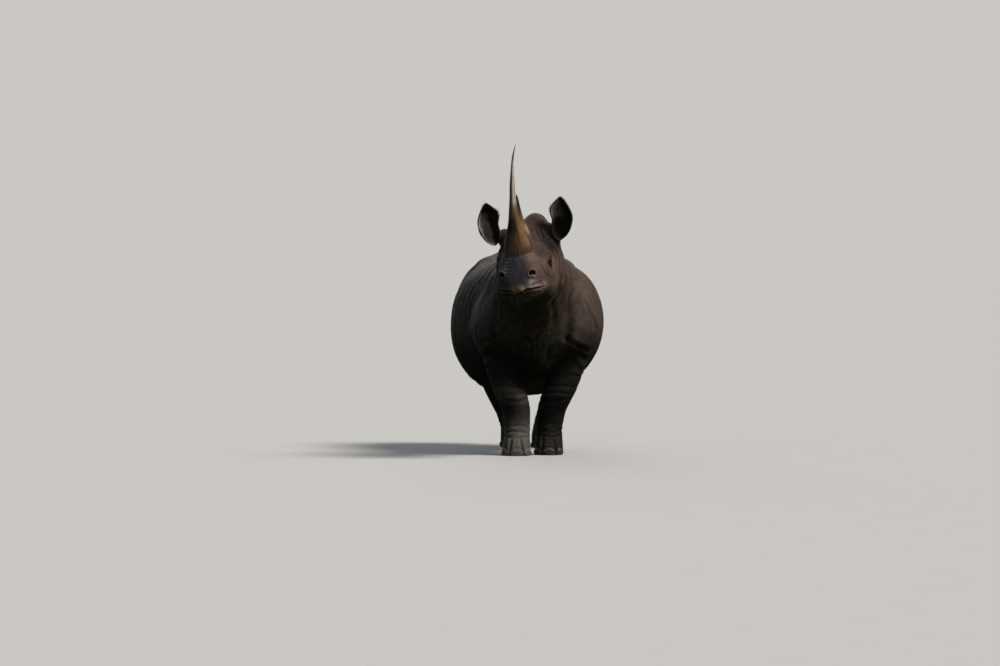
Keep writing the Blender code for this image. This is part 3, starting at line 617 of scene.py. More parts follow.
# Across and up, seen from the front: chest, throat, shoulders and flanks.
frontFolds = (
    (((-0.040, 0.990), (-0.012, 0.955), (0.008, 0.930), (0.034, 0.958), (0.068, 0.990)), 0.008, 0.011, 0.5),
    (((-0.062, 0.935), (-0.022, 0.885), (0.006, 0.860), (0.038, 0.885), (0.082, 0.930)), 0.009, 0.012, 0.5),
    (((-0.075, 0.870), (-0.03, 0.815), (0.000, 0.790), (0.032, 0.815), (0.08, 0.865)), 0.008, 0.012, 0.5),
    (((-0.022, 0.880), (-0.016, 0.810), (-0.002, 0.745), (0.000, 0.670)), 0.007, 0.012, 0.5),
    (((0.045, 0.860), (0.048, 0.795), (0.034, 0.730), (0.022, 0.665)), 0.006, 0.010, 0.5),
    (((-0.150, 0.735), (-0.118, 0.655), (-0.080, 0.570), (-0.052, 0.480)), 0.014, 0.017, 0.5),
    (((0.135, 0.750), (0.100, 0.660), (0.075, 0.575), (0.058, 0.490)), 0.013, 0.016, 0.5),
    (((-0.110, 0.810), (-0.078, 0.730), (-0.045, 0.670), (-0.030, 0.600)), 0.007, 0.013, 0.5),
    (((0.095, 0.820), (0.070, 0.740), (0.045, 0.680), (0.030, 0.610)), 0.006, 0.012, 0.5),
    (((-0.150, 1.060), (-0.115, 1.005), (-0.050, 0.975), (0.015, 0.980), (0.070, 1.020)), 0.007, 0.011, 0.5),
    (((-0.175, 1.000), (-0.120, 0.945), (-0.055, 0.920)), 0.007, 0.012, 0.5),
    (((0.120, 1.010), (0.095, 0.950), (0.060, 0.910)), 0.006, 0.011, 0.5),
    (((-0.205, 1.120), (-0.200, 1.000), (-0.185, 0.900), (-0.150, 0.820)), 0.009, 0.016, 0.5),
    (((0.150, 1.100), (0.160, 0.980), (0.140, 0.890), (0.105, 0.830)), 0.009, 0.016, 0.5),
    (((-0.245, 1.060), (-0.245, 0.960), (-0.225, 0.880)), 0.006, 0.013, 0.5),
    (((-0.375, 0.750), (-0.345, 0.775), (-0.305, 0.805), (-0.255, 0.832), (-0.20, 0.838)), 0.014, 0.014, 0.55),
    (((-0.335, 0.730), (-0.29, 0.755), (-0.245, 0.775)), 0.005, 0.010, 0.5),
    (((0.215, 0.828), (0.262, 0.800), (0.325, 0.765), (0.380, 0.730), (0.418, 0.695)), 0.015, 0.015, 0.55),
    (((0.235, 0.770), (0.290, 0.740), (0.345, 0.712)), 0.006, 0.011, 0.5),
    (((-0.402, 1.150), (-0.392, 0.990), (-0.378, 0.820), (-0.340, 0.660), (-0.298, 0.525)), 0.010, 0.014, 0.5),
    (((-0.360, 1.120), (-0.350, 0.980), (-0.340, 0.850)), 0.005, 0.011, 0.5),
    (((0.366, 1.105), (0.405, 1.020), (0.440, 0.940), (0.462, 0.860)), 0.010, 0.015, 0.5),
    (((0.300, 1.160), (0.325, 1.060), (0.345, 0.960), (0.345, 0.870)), -0.007, 0.026, 0.1),
    (((0.245, 1.200), (0.262, 1.080), (0.268, 0.960)), 0.004, 0.014, 0.4),
    (((-0.255, 0.700), (-0.262, 0.620), (-0.250, 0.540)), 0.004, 0.014, 0.4),
    (((0.235, 0.700), (0.240, 0.620), (0.225, 0.540)), 0.004, 0.014, 0.4),
)
for points, depth, width, lip in frontFolds:
    sculpt.draw("front", points, 0.62 * depth, 1.3 * width, lip=lip)

# Under the tail and down the back of each thigh.
for side in (1, -1):
    for points, depth, width in (
        (((0.05, 1.2), (0.12, 1.15), (0.17, 1.06), (0.18, 0.95)), 0.008, 0.018),
        (((0.035, 1.08), (0.075, 1.0), (0.085, 0.9), (0.075, 0.8)), 0.009, 0.016),
        (((0.02, 0.78), (0.03, 0.7), (0.04, 0.64)), 0.008, 0.014),
    ):
        sculpt.draw("rear", [(-0.105 + side * a, b) for a, b in points], depth, width)

# Soft wrinkles lie where a stretched noise crosses nought: upright on the flanks, level on belly and legs.
x, y, z = sculpt.co.T
hind = ease(0.5, 0.2, z)
belly = ease(0.72, 0.52, z) * ease(0.25, 0.4, y) * ease(1.1, 0.95, y)
flank = ease(-0.62, -0.5, y) * ease(0.45, 0.6, z) * (1 - belly)
for share, stretch, size, depth, seed in (
    (flank, (0.45, 1, 0.3), 0.125, 0.003, 61),
    (flank, (0.6, 1, 0.45), 0.06, 0.0015, 66),
    (belly, (0.6, 0.35, 1), 0.085, 0.003, 71),
    (hind, (0.5, 0.5, 1), 0.075, 0.0012, 76),
):
    patchy = ease(-0.5, 0.5, noise(sculpt.co / 0.21, seed + 4))
    lines = bell(cloud(sculpt.co * stretch, size, seed), 0.13) * share * (0.25 + 0.75 * patchy)
    sculpt.move += depth * (0.35 - lines) * (lines > 0) * share
    sculpt.crease = np.maximum(sculpt.crease, 0.3 * lines)
print("trunk folded")


# Rings round a leg: the leg's middle at each height is found from the skin itself.
def ringRound(foot, height, first, last, depth, width, tilt=0.0):
    middle = boxMiddle(foot) - start
    x, y, z = sculpt.co.T
    level = (np.abs(z - height) < 0.012) & (np.hypot(x - middle.x, y - middle.y) < 0.2)
    level &= (x > 0) == (middle.x > 0)
    low, high = sculpt.co[level].min(axis=0), sculpt.co[level].max(axis=0)
    spot = Vector(((low[0] + high[0]) / 2, (low[1] + high[1]) / 2, height))
    dice = np.random.default_rng(sculpt.count + 900)
    first, last = first + dice.uniform(-25, 25), last + dice.uniform(-25, 25)
    bend, swing = dice.uniform(-0.1, 0.1), dice.uniform(0, 6)
    points = []
    for angle in np.linspace(math.radians(first), math.radians(last), 13):
        rise = tilt * math.cos(angle) + bend * math.sin(1.5 * angle + swing)
        points.append(sculpt.meets(spot, Vector((math.sin(angle), -math.cos(angle), rise)).normalized()))
    sculpt.fold(points, 0.42 * depth, width, lip=0.5, wobble=0.8)


# Height, first and last angle from the front of the leg, to the animal's left, depth, width and slant.
legRings = {
    "forefoot": (
        (0.47, -105, 110, 0.006, 0.012, 0.15),
        (0.425, -100, 100, 0.007, 0.012, 0.05),
        (0.385, -115, 110, 0.007, 0.012, -0.05),
        (0.345, -80, 90, 0.004, 0.009, -0.08),
        (0.29, -150, -30, 0.003, 0.009, 0.1),
        (0.205, -110, 130, 0.004, 0.009),
        (0.165, -140, 140, 0.007, 0.01),
        (0.132, -125, 120, 0.006, 0.009, 0.05),
        (0.43, 120, 240, 0.006, 0.012, 0.1),
        (0.16, 130, 230, 0.005, 0.01, 0.1),
    ),
    "hindfoot": (
        (0.47, -95, 100, 0.007, 0.012, 0.2),
        (0.43, -100, 95, 0.006, 0.012, 0.15),
        (0.385, -80, 90, 0.005, 0.01, 0.1),
        (0.24, -110, 110, 0.004, 0.01),
        (0.175, -130, 130, 0.007, 0.011),
        (0.138, -120, 125, 0.006, 0.009, 0.05),
        (0.46, 130, 230, 0.005, 0.012, -0.2),
        (0.18, 130, 230, 0.005, 0.01),
    ),
}
feet = [f"{kind}_{side}" for kind in legRings for side in sides]
for foot in feet:
    for ring in legRings[foot.split("_")[0]]:
        ringRound(foot, *ring)

# Toes: a crease between each two.
for foot in feet:
    middle = boxMiddle(foot) - start
    for angle in (-24, 24):
        way = Vector((math.sin(math.radians(angle)), -math.cos(math.radians(angle)), 0))
        heights = (0.125, 0.095, 0.06, 0.03, 0.012)
        points = [sculpt.meets(Vector((middle.x, middle.y, up)), way) for up in heights]
        sculpt.fold(points, 0.009, 0.011, lip=0.4, wobble=0.1)

# Neck folds behind the jaw and under the throat, in the head's own frame.
for points, depth, width in (
    (((0.505, 0.26), (0.50, 0.16), (0.475, 0.05), (0.44, -0.03)), 0.008, 0.012),
    (((0.56, 0.20), (0.55, 0.10), (0.53, 0.00), (0.50, -0.08)), 0.009, 0.014),
    (((0.455, 0.13), (0.45, 0.06), (0.43, 0.00)), 0.004, 0.009),
):
    sculpt.bothSides(cheeks, points, depth, width)

# Creases that run down from the root of each ear across the temple.
for points, depth in (
    (((0.560, 0.365), (0.520, 0.330), (0.470, 0.285), (0.420, 0.235)), 0.007),
    (((0.555, 0.330), (0.515, 0.295), (0.465, 0.250), (0.415, 0.205)), 0.006),
    (((0.548, 0.295), (0.510, 0.260), (0.465, 0.220), (0.425, 0.180)), 0.006),
    (((0.535, 0.255), (0.500, 0.225), (0.460, 0.190)), 0.005),
):
    sculpt.bothSides(cheeks, points, depth, 0.0085)
# Creases of the forehead, round the eye and down the cheek.
for points, depth, width in (
    (((0.048, 1.602), (0.078, 1.548), (0.112, 1.486), (0.146, 1.432)), 0.007, 0.008),
    (((0.026, 1.590), (0.056, 1.535), (0.088, 1.478)), 0.004, 0.008),
    (((0.030, 1.628), (0.062, 1.640), (0.098, 1.632)), 0.005, 0.009),
    (((0.018, 1.606), (0.055, 1.616), (0.088, 1.610)), 0.003, 0.008),
    (((0.088, 1.335), (0.092, 1.308), (0.102, 1.284), (0.120, 1.259), (0.146, 1.238)), 0.0044, 0.0052),
    (((0.112, 1.312), (0.122, 1.290), (0.140, 1.272)), 0.0024, 0.0048),
    (((0.104, 1.325), (0.110, 1.300), (0.126, 1.276), (0.146, 1.258)), 0.0026, 0.0048),
    (((0.075, 1.400), (0.082, 1.375), (0.096, 1.360)), 0.0034, 0.0060),
    (((0.098, 1.420), (0.114, 1.408), (0.136, 1.404)), 0.0034, 0.0060),
    (((0.158, 1.385), (0.170, 1.360), (0.170, 1.335)), 0.0036, 0.0055),
    (((0.172, 1.395), (0.186, 1.365), (0.184, 1.330)), 0.0030, 0.0060),
    (((0.060, 1.470), (0.080, 1.440), (0.088, 1.400)), 0.003, 0.008),
    (((0.040, 1.440), (0.062, 1.400), (0.070, 1.350)), 0.003, 0.008),
):
    sculpt.draw("front", points, depth, width)

# Wrinkles over the bridge of the nose, under the front horn.
for points, depth in (
    (((-0.118, 1.456), (-0.085, 1.459), (-0.042, 1.454)), 0.0030),
    (((-0.122, 1.438), (-0.080, 1.441), (-0.030, 1.434)), 0.0026),
    (((-0.126, 1.423), (-0.085, 1.426), (-0.030, 1.423)), 0.0042),
    (((-0.115, 1.407), (-0.080, 1.409), (-0.040, 1.404)), 0.0026),
    (((-0.118, 1.391), (-0.085, 1.393), (-0.045, 1.388)), 0.0030),
    (((-0.120, 1.373), (-0.090, 1.376), (-0.048, 1.371)), 0.0032),
    (((-0.112, 1.357), (-0.080, 1.359), (-0.052, 1.353)), 0.0022),
    (((-0.200, 1.405), (-0.170, 1.410), (-0.135, 1.404)), 0.0028),
    (((-0.195, 1.380), (-0.165, 1.384), (-0.138, 1.380)), 0.0022),
    (((-0.198, 1.352), (-0.170, 1.357), (-0.132, 1.352)), 0.0034),
    (((-0.196, 1.331), (-0.165, 1.335), (-0.128, 1.330)), 0.0036),
    (((-0.192, 1.308), (-0.165, 1.311), (-0.130, 1.308)), 0.0024),
    (((-0.195, 1.285), (-0.165, 1.289), (-0.128, 1.284)), 0.0036),
    (((-0.185, 1.262), (-0.160, 1.264), (-0.130, 1.260)), 0.0022),
    (((-0.130, 1.415), (-0.135, 1.375), (-0.131, 1.336)), 0.0034),
    (((-0.072, 1.290), (-0.077, 1.255), (-0.070, 1.222)), 0.0036),
    (((-0.190, 1.268), (-0.196, 1.235), (-0.190, 1.202)), 0.0034),
    (((-0.100, 1.285), (-0.104, 1.245), (-0.100, 1.205)), 0.0024),
    (((-0.128, 1.262), (-0.132, 1.228), (-0.127, 1.200)), 0.0022),
    (((-0.160, 1.250), (-0.164, 1.222), (-0.160, 1.198)), 0.0022),
    (((-0.052, 1.262), (-0.050, 1.235), (-0.040, 1.212)), 0.0026),
    (((0.040, 1.300), (0.062, 1.275), (0.075, 1.240), (0.070, 1.205)), 0.0032),
    (((0.052, 1.330), (0.080, 1.300), (0.096, 1.262)), 0.0024),
):
    sculpt.draw("front", points, 0.62 * depth, 0.0048, lip=0.3, wobble=0.8, step=0.006)

# The mouth: a line round the muzzle that dips under the pointed upper lip.
mouth = {
    "level": -0.01,
    "dip": 0.034,
    "dipWidth": 19,
    "corner": 96,
    "depth": 0.015,
    "width": 0.0066,
    "middleBack": 0.105,
}


def mouthPoint(angle, lift):
    level = mouth["level"] - mouth["dip"] * math.exp(-((angle / mouth["dipWidth"]) ** 2)) + lift
    turn = math.radians(angle)
    inside = headFrame @ Vector((0, mouth["middleBack"], level))
    return sculpt.meets(inside, headFrame.to_3x3() @ Vector((math.sin(turn), -math.cos(turn), 0)))


# A line at some height over the mouth, from one angle round the muzzle to another.
def roundMuzzle(first, last, lift, lastLift=None, count=25):
    lifts = np.linspace(lift, lift if lastLift is None else lastLift, count)
    return [mouthPoint(a, up) for a, up in zip(np.linspace(first, last, count), lifts)]


corner = mouth["corner"]
sculpt.fold(roundMuzzle(-corner, corner, 0), mouth["depth"], mouth["width"], lip=0.3, wobble=0.12, step=0.005)
sculpt.fold(roundMuzzle(-corner - 4, corner + 4, 0.017), -0.005, 0.01, lip=0, wobble=0.1)
sculpt.fold(roundMuzzle(-corner, corner, -0.018), -0.004, 0.01, lip=0, wobble=0.1)
for first, last, lift, lastLift, depth in (
    (-92, -40, 0.04, 0.028, 0.0024),
    (46, 96, 0.03, 0.044, 0.0026),
    (66, 104, 0.06, 0.07, 0.0018),
    (-90, -15, -0.038, -0.03, 0.003),
    (12, 82, -0.03, -0.042, 0.0032),
    (-50, 60, -0.06, -0.056, 0.0026),
):
    sculpt.fold(roundMuzzle(first, last, lift, lastLift), depth, 0.006, step=0.006)
# Short upright wrinkles over both lips.
dice = np.random.default_rng(4)
for angle in np.arange(-88, 90, 8.0):
    for low, high, depth in ((0.01, 0.034, 0.0017), (-0.01, -0.04, 0.0019)):
        a = angle + dice.uniform(-3, 3)
        reach = high * dice.uniform(0.6, 1.25)
        sculpt.fold([mouthPoint(a, low), mouthPoint(a + dice.uniform(-2, 2), reach)], depth, 0.004, step=0.005)
# The corners of the mouth, and the folds that fan out from them.
for side in (1, -1):
    sculpt.swell(mouthPoint(side * (corner + 4), 0), 0.016, -0.005)
    for lift, depth in ((0.022, 0.0035), (-0.022, 0.0035), (0.0, 0.003)):
        fan = [mouthPoint(side * (corner + far), lift * rise) for far, rise in ((-2, 0.4), (9, 1), (18, 1.6))]
        sculpt.fold(fan, depth, 0.006, step=0.006)

# Brows, the bone under each eye, the hollow over it, and the cheeks: back, up, reach and height.
faceForms = (
    (0.33, 0.205, (0.05, 0.05, 0.03), 0.006),
    (0.4, 0.215, 0.035, -0.008),
    (0.3, 0.06, (0.05, 0.1, 0.03), 0.006),
    (0.19, 0.03, 0.045, -0.006),
    (0.42, 0.02, 0.06, 0.007),
)
for view in cheeks:
    for back, up, reach, height in faceForms:
        sculpt.swell(sculpt.look(view, back, up), reach, height)
# Knobs along the lit half of the upper lip.
dice = np.random.default_rng(12)
for angle in np.arange(16, 84, 7.5):
    sculpt.swell(mouthPoint(angle + dice.uniform(-2, 2), 0.012), 0.0085, 0.0042 * dice.uniform(0.5, 1.3))
sculpt.swell(mouthPoint(38, 0.03), (0.02, 0.03, 0.02), 0.006)
sculpt.finish()
print("head folded")

# Lids: skin drawn over each eyeball, open in an almond, with its folds round it.
lids = {
    "radius": 0.0165,
    "thick": 0.0032,
    "wide": 0.0182,
    "high": 0.0152,
    "narrow": 0.3,
    "low": 0.0015,
    "slant": 0.002,
    "gaze": (0.62, -0.78, 0.02),
    "inner": 0.021,
    "outer": 0.038,
}


def sideways(side, way):
    return Vector((side * way[0], way[1], way[2])).normalized()


def uprightTo(out):
    return (Vector((0, 0, 1)) - out * out.z).normalized()


def eyeAxes(side):
    out = sideways(side, lids["gaze"])
    up = uprightTo(out)
    return out, out.cross(up).normalized(), up


co = pointsOf(body)
local = moved(co, headBack)
socket = np.zeros(len(co))
for side in (1, -1):
    out, across, up = (np.array(v) for v in eyeAxes(side))
    away = local - np.array(eyeAt[side])
    at = np.flatnonzero((np.linalg.norm(away, axis=1) < 0.07) & (away @ out > -0.012))
    away = away[at]
    h, k = away @ across, away @ up
    spread = np.hypot(h, k)
    k = k + lids["low"] - lids["slant"] * (h / lids["wide"])
    lidHeight = lids["high"] * (1 - lids["narrow"] * np.clip(np.abs(h) / lids["wide"], 0, 1) ** 2)
    almond = np.hypot(h / lids["wide"], k / lidHeight)
    opened = ease(1.08, 0.92, almond)
    brow = ease(0.004, 0.016, k)
    rim, crease = bell(almond - 1.22, 0.16), bell(almond - 1.62, 0.14)
    radius = lids["radius"] + lids["thick"] + (0.0014 + 0.0042 * brow) * rim - 0.0022 * crease
    radius = radius * (1 - opened) + (lids["radius"] - 0.003) * opened
    length = np.linalg.norm(away, axis=1)
    pull = ease(lids["outer"], lids["inner"], spread)
    turn = np.arctan2(k, h)
    ring = np.cos((spread - 0.024) / 0.0088 * 2 * math.pi + 0.9 * np.sin(3.1 * turn))
    ringPower = ease(0.02, 0.026, spread) * ease(0.062, 0.04, spread)
    ringPower = ringPower * (0.35 + 0.65 * ease(0.3, -0.6, np.sin(turn)))
    wanted = radius * pull + length * (1 - pull) + 0.0013 * ring * ringPower
    sculpt.deepen(at, 0.55 * ringPower * ease(0.2, -0.8, ring))
    local[at] += away * (wanted / np.maximum(length, 1e-6) - 1)[:, None]
    socket[at] = np.maximum(socket[at], ease(1.9, 1.0, almond))

# Nostrils: deep commas with a thick rim.
nostril = {"depth": 0.04, "rim": 0.0065, "axis": (0.62, -0.78, 0.06)}
hollowed = np.zeros(len(co))
for side in (1, -1):
    out = sideways(side, nostril["axis"])
    up = uprightTo(out)
    across = up.cross(out) * side
    out, up, across = np.array(out), np.array(up), np.array(across)
    away = local - np.array(nostrilAt[side])
    at = np.flatnonzero((np.linalg.norm(away, axis=1) < 0.075) & (away @ out > -0.03))
    away = away[at]
    h, k = away @ across, away @ up
    q = np.full(len(at), 9.0)
    for t in np.linspace(0, 1, 21):
        swing = math.radians(205 - 230 * t)
        a, b = 0.0135 * math.cos(swing), 0.0115 * math.sin(swing) - 0.001
        q = np.minimum(q, np.hypot(h - a, k - b) / (0.0062 + 0.0058 * math.sin(math.pi * t) ** 0.7))
    hole = ease(1.15, 0.65, q)
    rim = bell(q - 1.75, 0.45) * (0.7 + 0.3 * np.sin(np.arctan2(k, h) - 0.6))
    under = np.exp(-((h / 0.013) ** 2) - (((k + 0.018) / 0.012) ** 2))
    local[at] += out * (nostril["rim"] * rim + 0.006 * under - nostril["depth"] * hole)[:, None]
    local[at] += np.outer(0.01 * hole, up)
    hollowed[at] = np.maximum(hollowed[at], ease(1.35, 0.85, q))
setPoints(body, moved(local, headFrame))
print("eyelids and nostrils opened")

# How hollow or raised each place is, from the skin against a smoother copy of itself.
co, normals = pointsOf(body), normalsOf(body)
smoother = relax(co.copy(), edgesOf(body), np.ones(len(co)), 10)
hollow = ((smoother - co) * normals).sum(axis=1)
kept = {"crease": sculpt.crease, "hollow": np.clip(hollow / 0.0012, -1, 1), "socket": socket, "nostril": hollowed}
for name, values in kept.items():
    store(body, name, values)

# The skin is thinned, least of all round the eyes and nostrils.
local = moved(co, headBack)
onHead = ease(0.7, 0.55, local[:, 1])
onMuzzle = ease(0.5, 0.36, local[:, 1]) * (co[:, 1] < 0)
closeUp = np.zeros(len(co))
for side in (1, -1):
    for spot in (eyeAt[side], nostrilAt[side]):
        closeUp = np.maximum(closeUp, ease(0.055, 0.035, distance(local, spot)))
keep = np.clip(0.5 * onHead + 0.3 * onMuzzle + 0.2 * closeUp + 0.1 * (sculpt.crease > 0.2), 0, 1)
thinning = makeObject("thinning", body)
group = thinning.vertex_groups.new(name="keep")
for level in np.unique(np.round(keep, 1)):
    if level > 0:
        group.add(np.flatnonzero(np.round(keep, 1) == level).tolist(), float(level), "REPLACE")
body.calc_loop_triangles()
step = thinning.modifiers.new("thin", "DECIMATE")
step.ratio = skinPiece["triangles"] / len(body.loop_triangles)
step.vertex_group = "keep"
step.invert_vertex_group = True
step.vertex_group_factor = skinPiece["keepFactor"]
skinMesh = evaluatedMesh(thinning)
bpy.data.objects.remove(thinning)
bpy.data.meshes.remove(body)
co = pointsOf(skinMesh) + np.array(start)
co[:, 2] = np.maximum(co[:, 2], 0)
setPoints(skinMesh, co)
print("skin thinned to", len(skinMesh.vertices), "points")

# Markings: the hide's colour at each point of the skin, from where on the animal it lies, with painted shade and
# highlights among them.
hide = {
    "warm": (0.094, 0.063, 0.046),
    "slate": (0.05, 0.05, 0.055),
    "nose": (0.034, 0.05, 0.084),
    "olive": (0.04, 0.037, 0.02),
    "dust": (0.2, 0.18, 0.155),
    "clayAndPaintedLight": (0.175, 0.112, 0.086),
    "dark": (0.022, 0.019, 0.017),
    "lipStain": (0.23, 0.095, 0.024),
    "chin": (0.05, 0.06, 0.026),
    "earPale": (0.68, 0.57, 0.5),
    "earDark": (0.013, 0.011, 0.01),
    "rimPale": (0.3, 0.255, 0.225),
    "redCrease": (0.11, 0.04, 0.025),
    "eyeRing": (0.03, 0.014, 0.01),
    # Near black, painted as shade deep in nostrils, sockets and creases.
    "inside": (0.012, 0.008, 0.007),
    "brow": (0.058, 0.034, 0.026),
    # Painted shade: a near black for skin that stands in shadow.
    "paintedShade": (0.006, 0.006, 0.005),
    "plum": (0.034, 0.026, 0.034),
}


# Colours that start as one of a palette, and a brush that mixes the others in.
def paintbox(count, palette, first):
    colours = np.tile(np.array(palette[first]), (count, 1))

    def paint(name, share):
        share = np.clip(share, 0, 1)[:, None]
        colours[:] = colours * (1 - share) + share * np.array(palette[name])

    return colours, paint


own = pointsOf(skinMesh) - np.array(start)
normals = normalsOf(skinMesh)
x, y, z = own.T
local = moved(own, headBack)
u, v, w = local.T
layers = [readOut(skinMesh.attributes[name].data, "value", 1, np.float32)[:, 0] for name in kept]
crease, hollow, socket, hollowed = layers
broad = cloud(own, 0.55, 21)
patches = cloud(own, 0.16, 31, 4)
fine = cloud(own, 0.045, 41)
colours, paint = paintbox(len(own), hide, "warm")
# Slate in broad patches, made greyer by painted shade towards the animal's right, the side away from the key lamp.
paint("slate", 0.45 + 0.5 * broad - 0.35 * np.sign(x) * ease(0.0, 0.35, np.abs(x)))
# Paler clay on the upward faces of the upper body, partly painted light from above.
paint("clayAndPaintedLight", 0.42 * ease(0.35, 0.95, normals[:, 2]) * ease(0.9, 1.2, z) * (0.7 + 0.5 * patches))
# Painted shade in an olive tone: darker on the downward faces, and over the chest under the head.
paint("olive", 0.75 * ease(0.25, -0.75, normals[:, 2]) * ease(0.45, 0.62, z))
paint("olive", 0.85 * spotAt(own, (0.0, -0.3, 0.85), (0.26, 0.4, 0.34)) * ease(1.2, 1.0, z))
# Painted shade makes the legs and the lower body dark, as if they stood in shadow; one side is paler with dust on
# the knee and the foot, and there is a darker patch on the left shoulder.
onLegs = ease(0.62, 0.38, z)
paint("paintedShade", 0.86 * ease(0.95, 0.66, z) * ease(0.05, 0.3, z))
paint("paintedShade", 0.86 * onLegs * (x > 0.02) * (y < 0.6))
inShoulder = spotAt(own, (0.3, -0.2, 1.04), (0.11, 0.4, 0.2))
paint("brow", 0.95 * inShoulder)
paint("dark", 0.4 * ease(0.5, 0.9, inShoulder))
onKnee = bell(z - 0.42, 0.06) * ease(0.0, 0.5, -normals[:, 1])
onFoot = ease(0.3 + 0.05 * (x < 0.02), 0.05 + 0.06 * (x < 0.02), z)
paler = 0.05 + 0.5 * (x < 0.02) * (y < 0.6)
paint("dust", onFoot * (0.62 + 0.5 * patches) * paler)
paint("dust", onKnee * (0.5 + 0.5 * patches) * paler)
paint("dust", 0.3 * ease(0.15, 0.9, patches + 0.3 * broad) * ease(0.5, 0.8, z))
# The head: warm and pale on its left, the lit side, partly as painted light; slate over the nose, olive under the
# jaw.
onHead = ease(0.72, 0.6, v) * (y < -0.2)
paint("warm", 0.6 * onHead * ease(-0.02, 0.08, u))
paint("clayAndPaintedLight", 0.95 * onHead * ease(0.02, 0.09, u) * ease(-0.1, 0.0, w) * (0.9 + 0.4 * patches))
paint("brow", 0.85 * onHead * ease(0.15, 0.22, w) * ease(0.1, 0.2, v))
paint("nose", 0.95 * spotAt(local, (-0.055, 0.02, 0.13), (0.085, 0.16, 0.11)) * onHead)
paint("slate", 0.85 * spotAt(local, (0.045, 0.02, 0.12), (0.04, 0.1, 0.08)) * onHead)
# Painted shade: black furrows slant from the root of the left ear down to the eye, the shade in the temple's
# creases.
downTemple = 0.66 * (x - 0.125) - 0.75 * (z - 1.5)
overTemple = 0.75 * (x - 0.125) + 0.66 * (z - 1.5)
temple = np.exp(-((downTemple / 0.105) ** 2) - (overTemple / 0.042) ** 2)
temple = temple * onHead * ease(0.28, 0.34, v + 0.05 * fine)
furrows = 0.5 + 0.5 * np.cos(2 * math.pi * overTemple / 0.027 + 1.5 * fine)
paint("paintedShade", 1.15 * temple * (0.5 + 0.5 * furrows))
# Painted highlight: pale lines on the raised wrinkles over the nose.
noseLines = spotAt(local, (-0.05, 0.02, 0.13), (0.075, 0.16, 0.1)) * onHead * ease(0.15, -0.5, hollow)
paint("rimPale", 0.6 * noseLines * ease(-0.4, 0.6, fine))
paint("plum", 0.7 * spotAt(local, (0.032, 0.02, 0.085), (0.03, 0.08, 0.045)))
underJaw = onHead * ease(-0.015, -0.06, w)
paint("chin", 0.85 * underJaw * ease(0.6, 0.25, v))
paint("olive", 0.55 * underJaw * (0.5 + patches))
# The stained tip of the lip, pale flecks on the chin, and the pale edge of the lip on its left half, partly pale
# skin and partly painted highlight.
stain = ease(0.3, 0.75, spotAt(local, (-0.022, 0.0, -0.006), (0.056, 0.06, 0.034)) + 0.12 * fine)
paint("lipStain", 0.95 * stain * (0.8 + 0.4 * fine))
flecks = spotAt(local, (0.09, 0.05, -0.07), (0.09, 0.14, 0.05)) * ease(0.25, 0.7, cloud(own, 0.02, 51, 2))
paint("earPale", 0.65 * flecks * ease(-0.01, -0.03, w))
lipFold = onHead * ease(0.24, 0.16, v) * ease(-0.02, 0.03, u) * (1 - stain)
paint("earPale", 0.55 * lipFold * bell(w - 0.002, 0.013) * ease(0.0, 0.5, cloud(own, 0.02, 52, 2)))
paint("rimPale", 0.75 * lipFold * bell(w - 0.004, 0.018) * (0.75 + 0.7 * fine))
for side in (1, -1):
    centre = np.array(nostrilAt[side])
    away = np.linalg.norm((local - centre) * (1, 0.8, 1), axis=1)
    # Pale rims round the nostrils and pale skin under them, stronger on the left, the lit side: partly pale skin,
    # partly painted highlight.
    paint("rimPale", 0.55 * ease(0.042, 0.026, away) * (0.55 + 0.45 * side))
    under = spotAt(local, centre + (side * -0.004, -0.01, -0.05), (0.024, 0.04, 0.03))
    paint("rimPale", (0.5 + 0.45 * side) * np.minimum(1.6 * under, 1) * (0.9 + 0.4 * fine))
    paint("earPale", max(side, 0) * 0.5 * ease(0.45, 0.95, under))
    centre = np.array(eyeAt[side])
    away = np.linalg.norm((local - centre) * (1, 0.85, 1), axis=1)
    paint("rimPale", 0.55 * ease(0.07, 0.04, away) * ease(0.0, 0.02, v - centre[1]))
    # Painted shade round each eye: reddish in front of and below it, and a dark ring that is partly the eye's own
    # dark skin. It is darkest above its middle, as under a brow.
    paint("redCrease", 0.6 * ease(0.062, 0.042, away) * ease(0.02, -0.01, v - centre[1]))
    paint("eyeRing", 0.96 * ease(0.044, 0.031, away + 0.006 * fine))
    paint("inside", 0.8 * ease(0.03, 0.022, away) * ease(-0.006, 0.012, w - centre[2]))
# Painted shade deep in the nostrils and in the eye sockets.
paint("inside", 0.96 * hollowed)
paint("inside", 0.85 * socket)
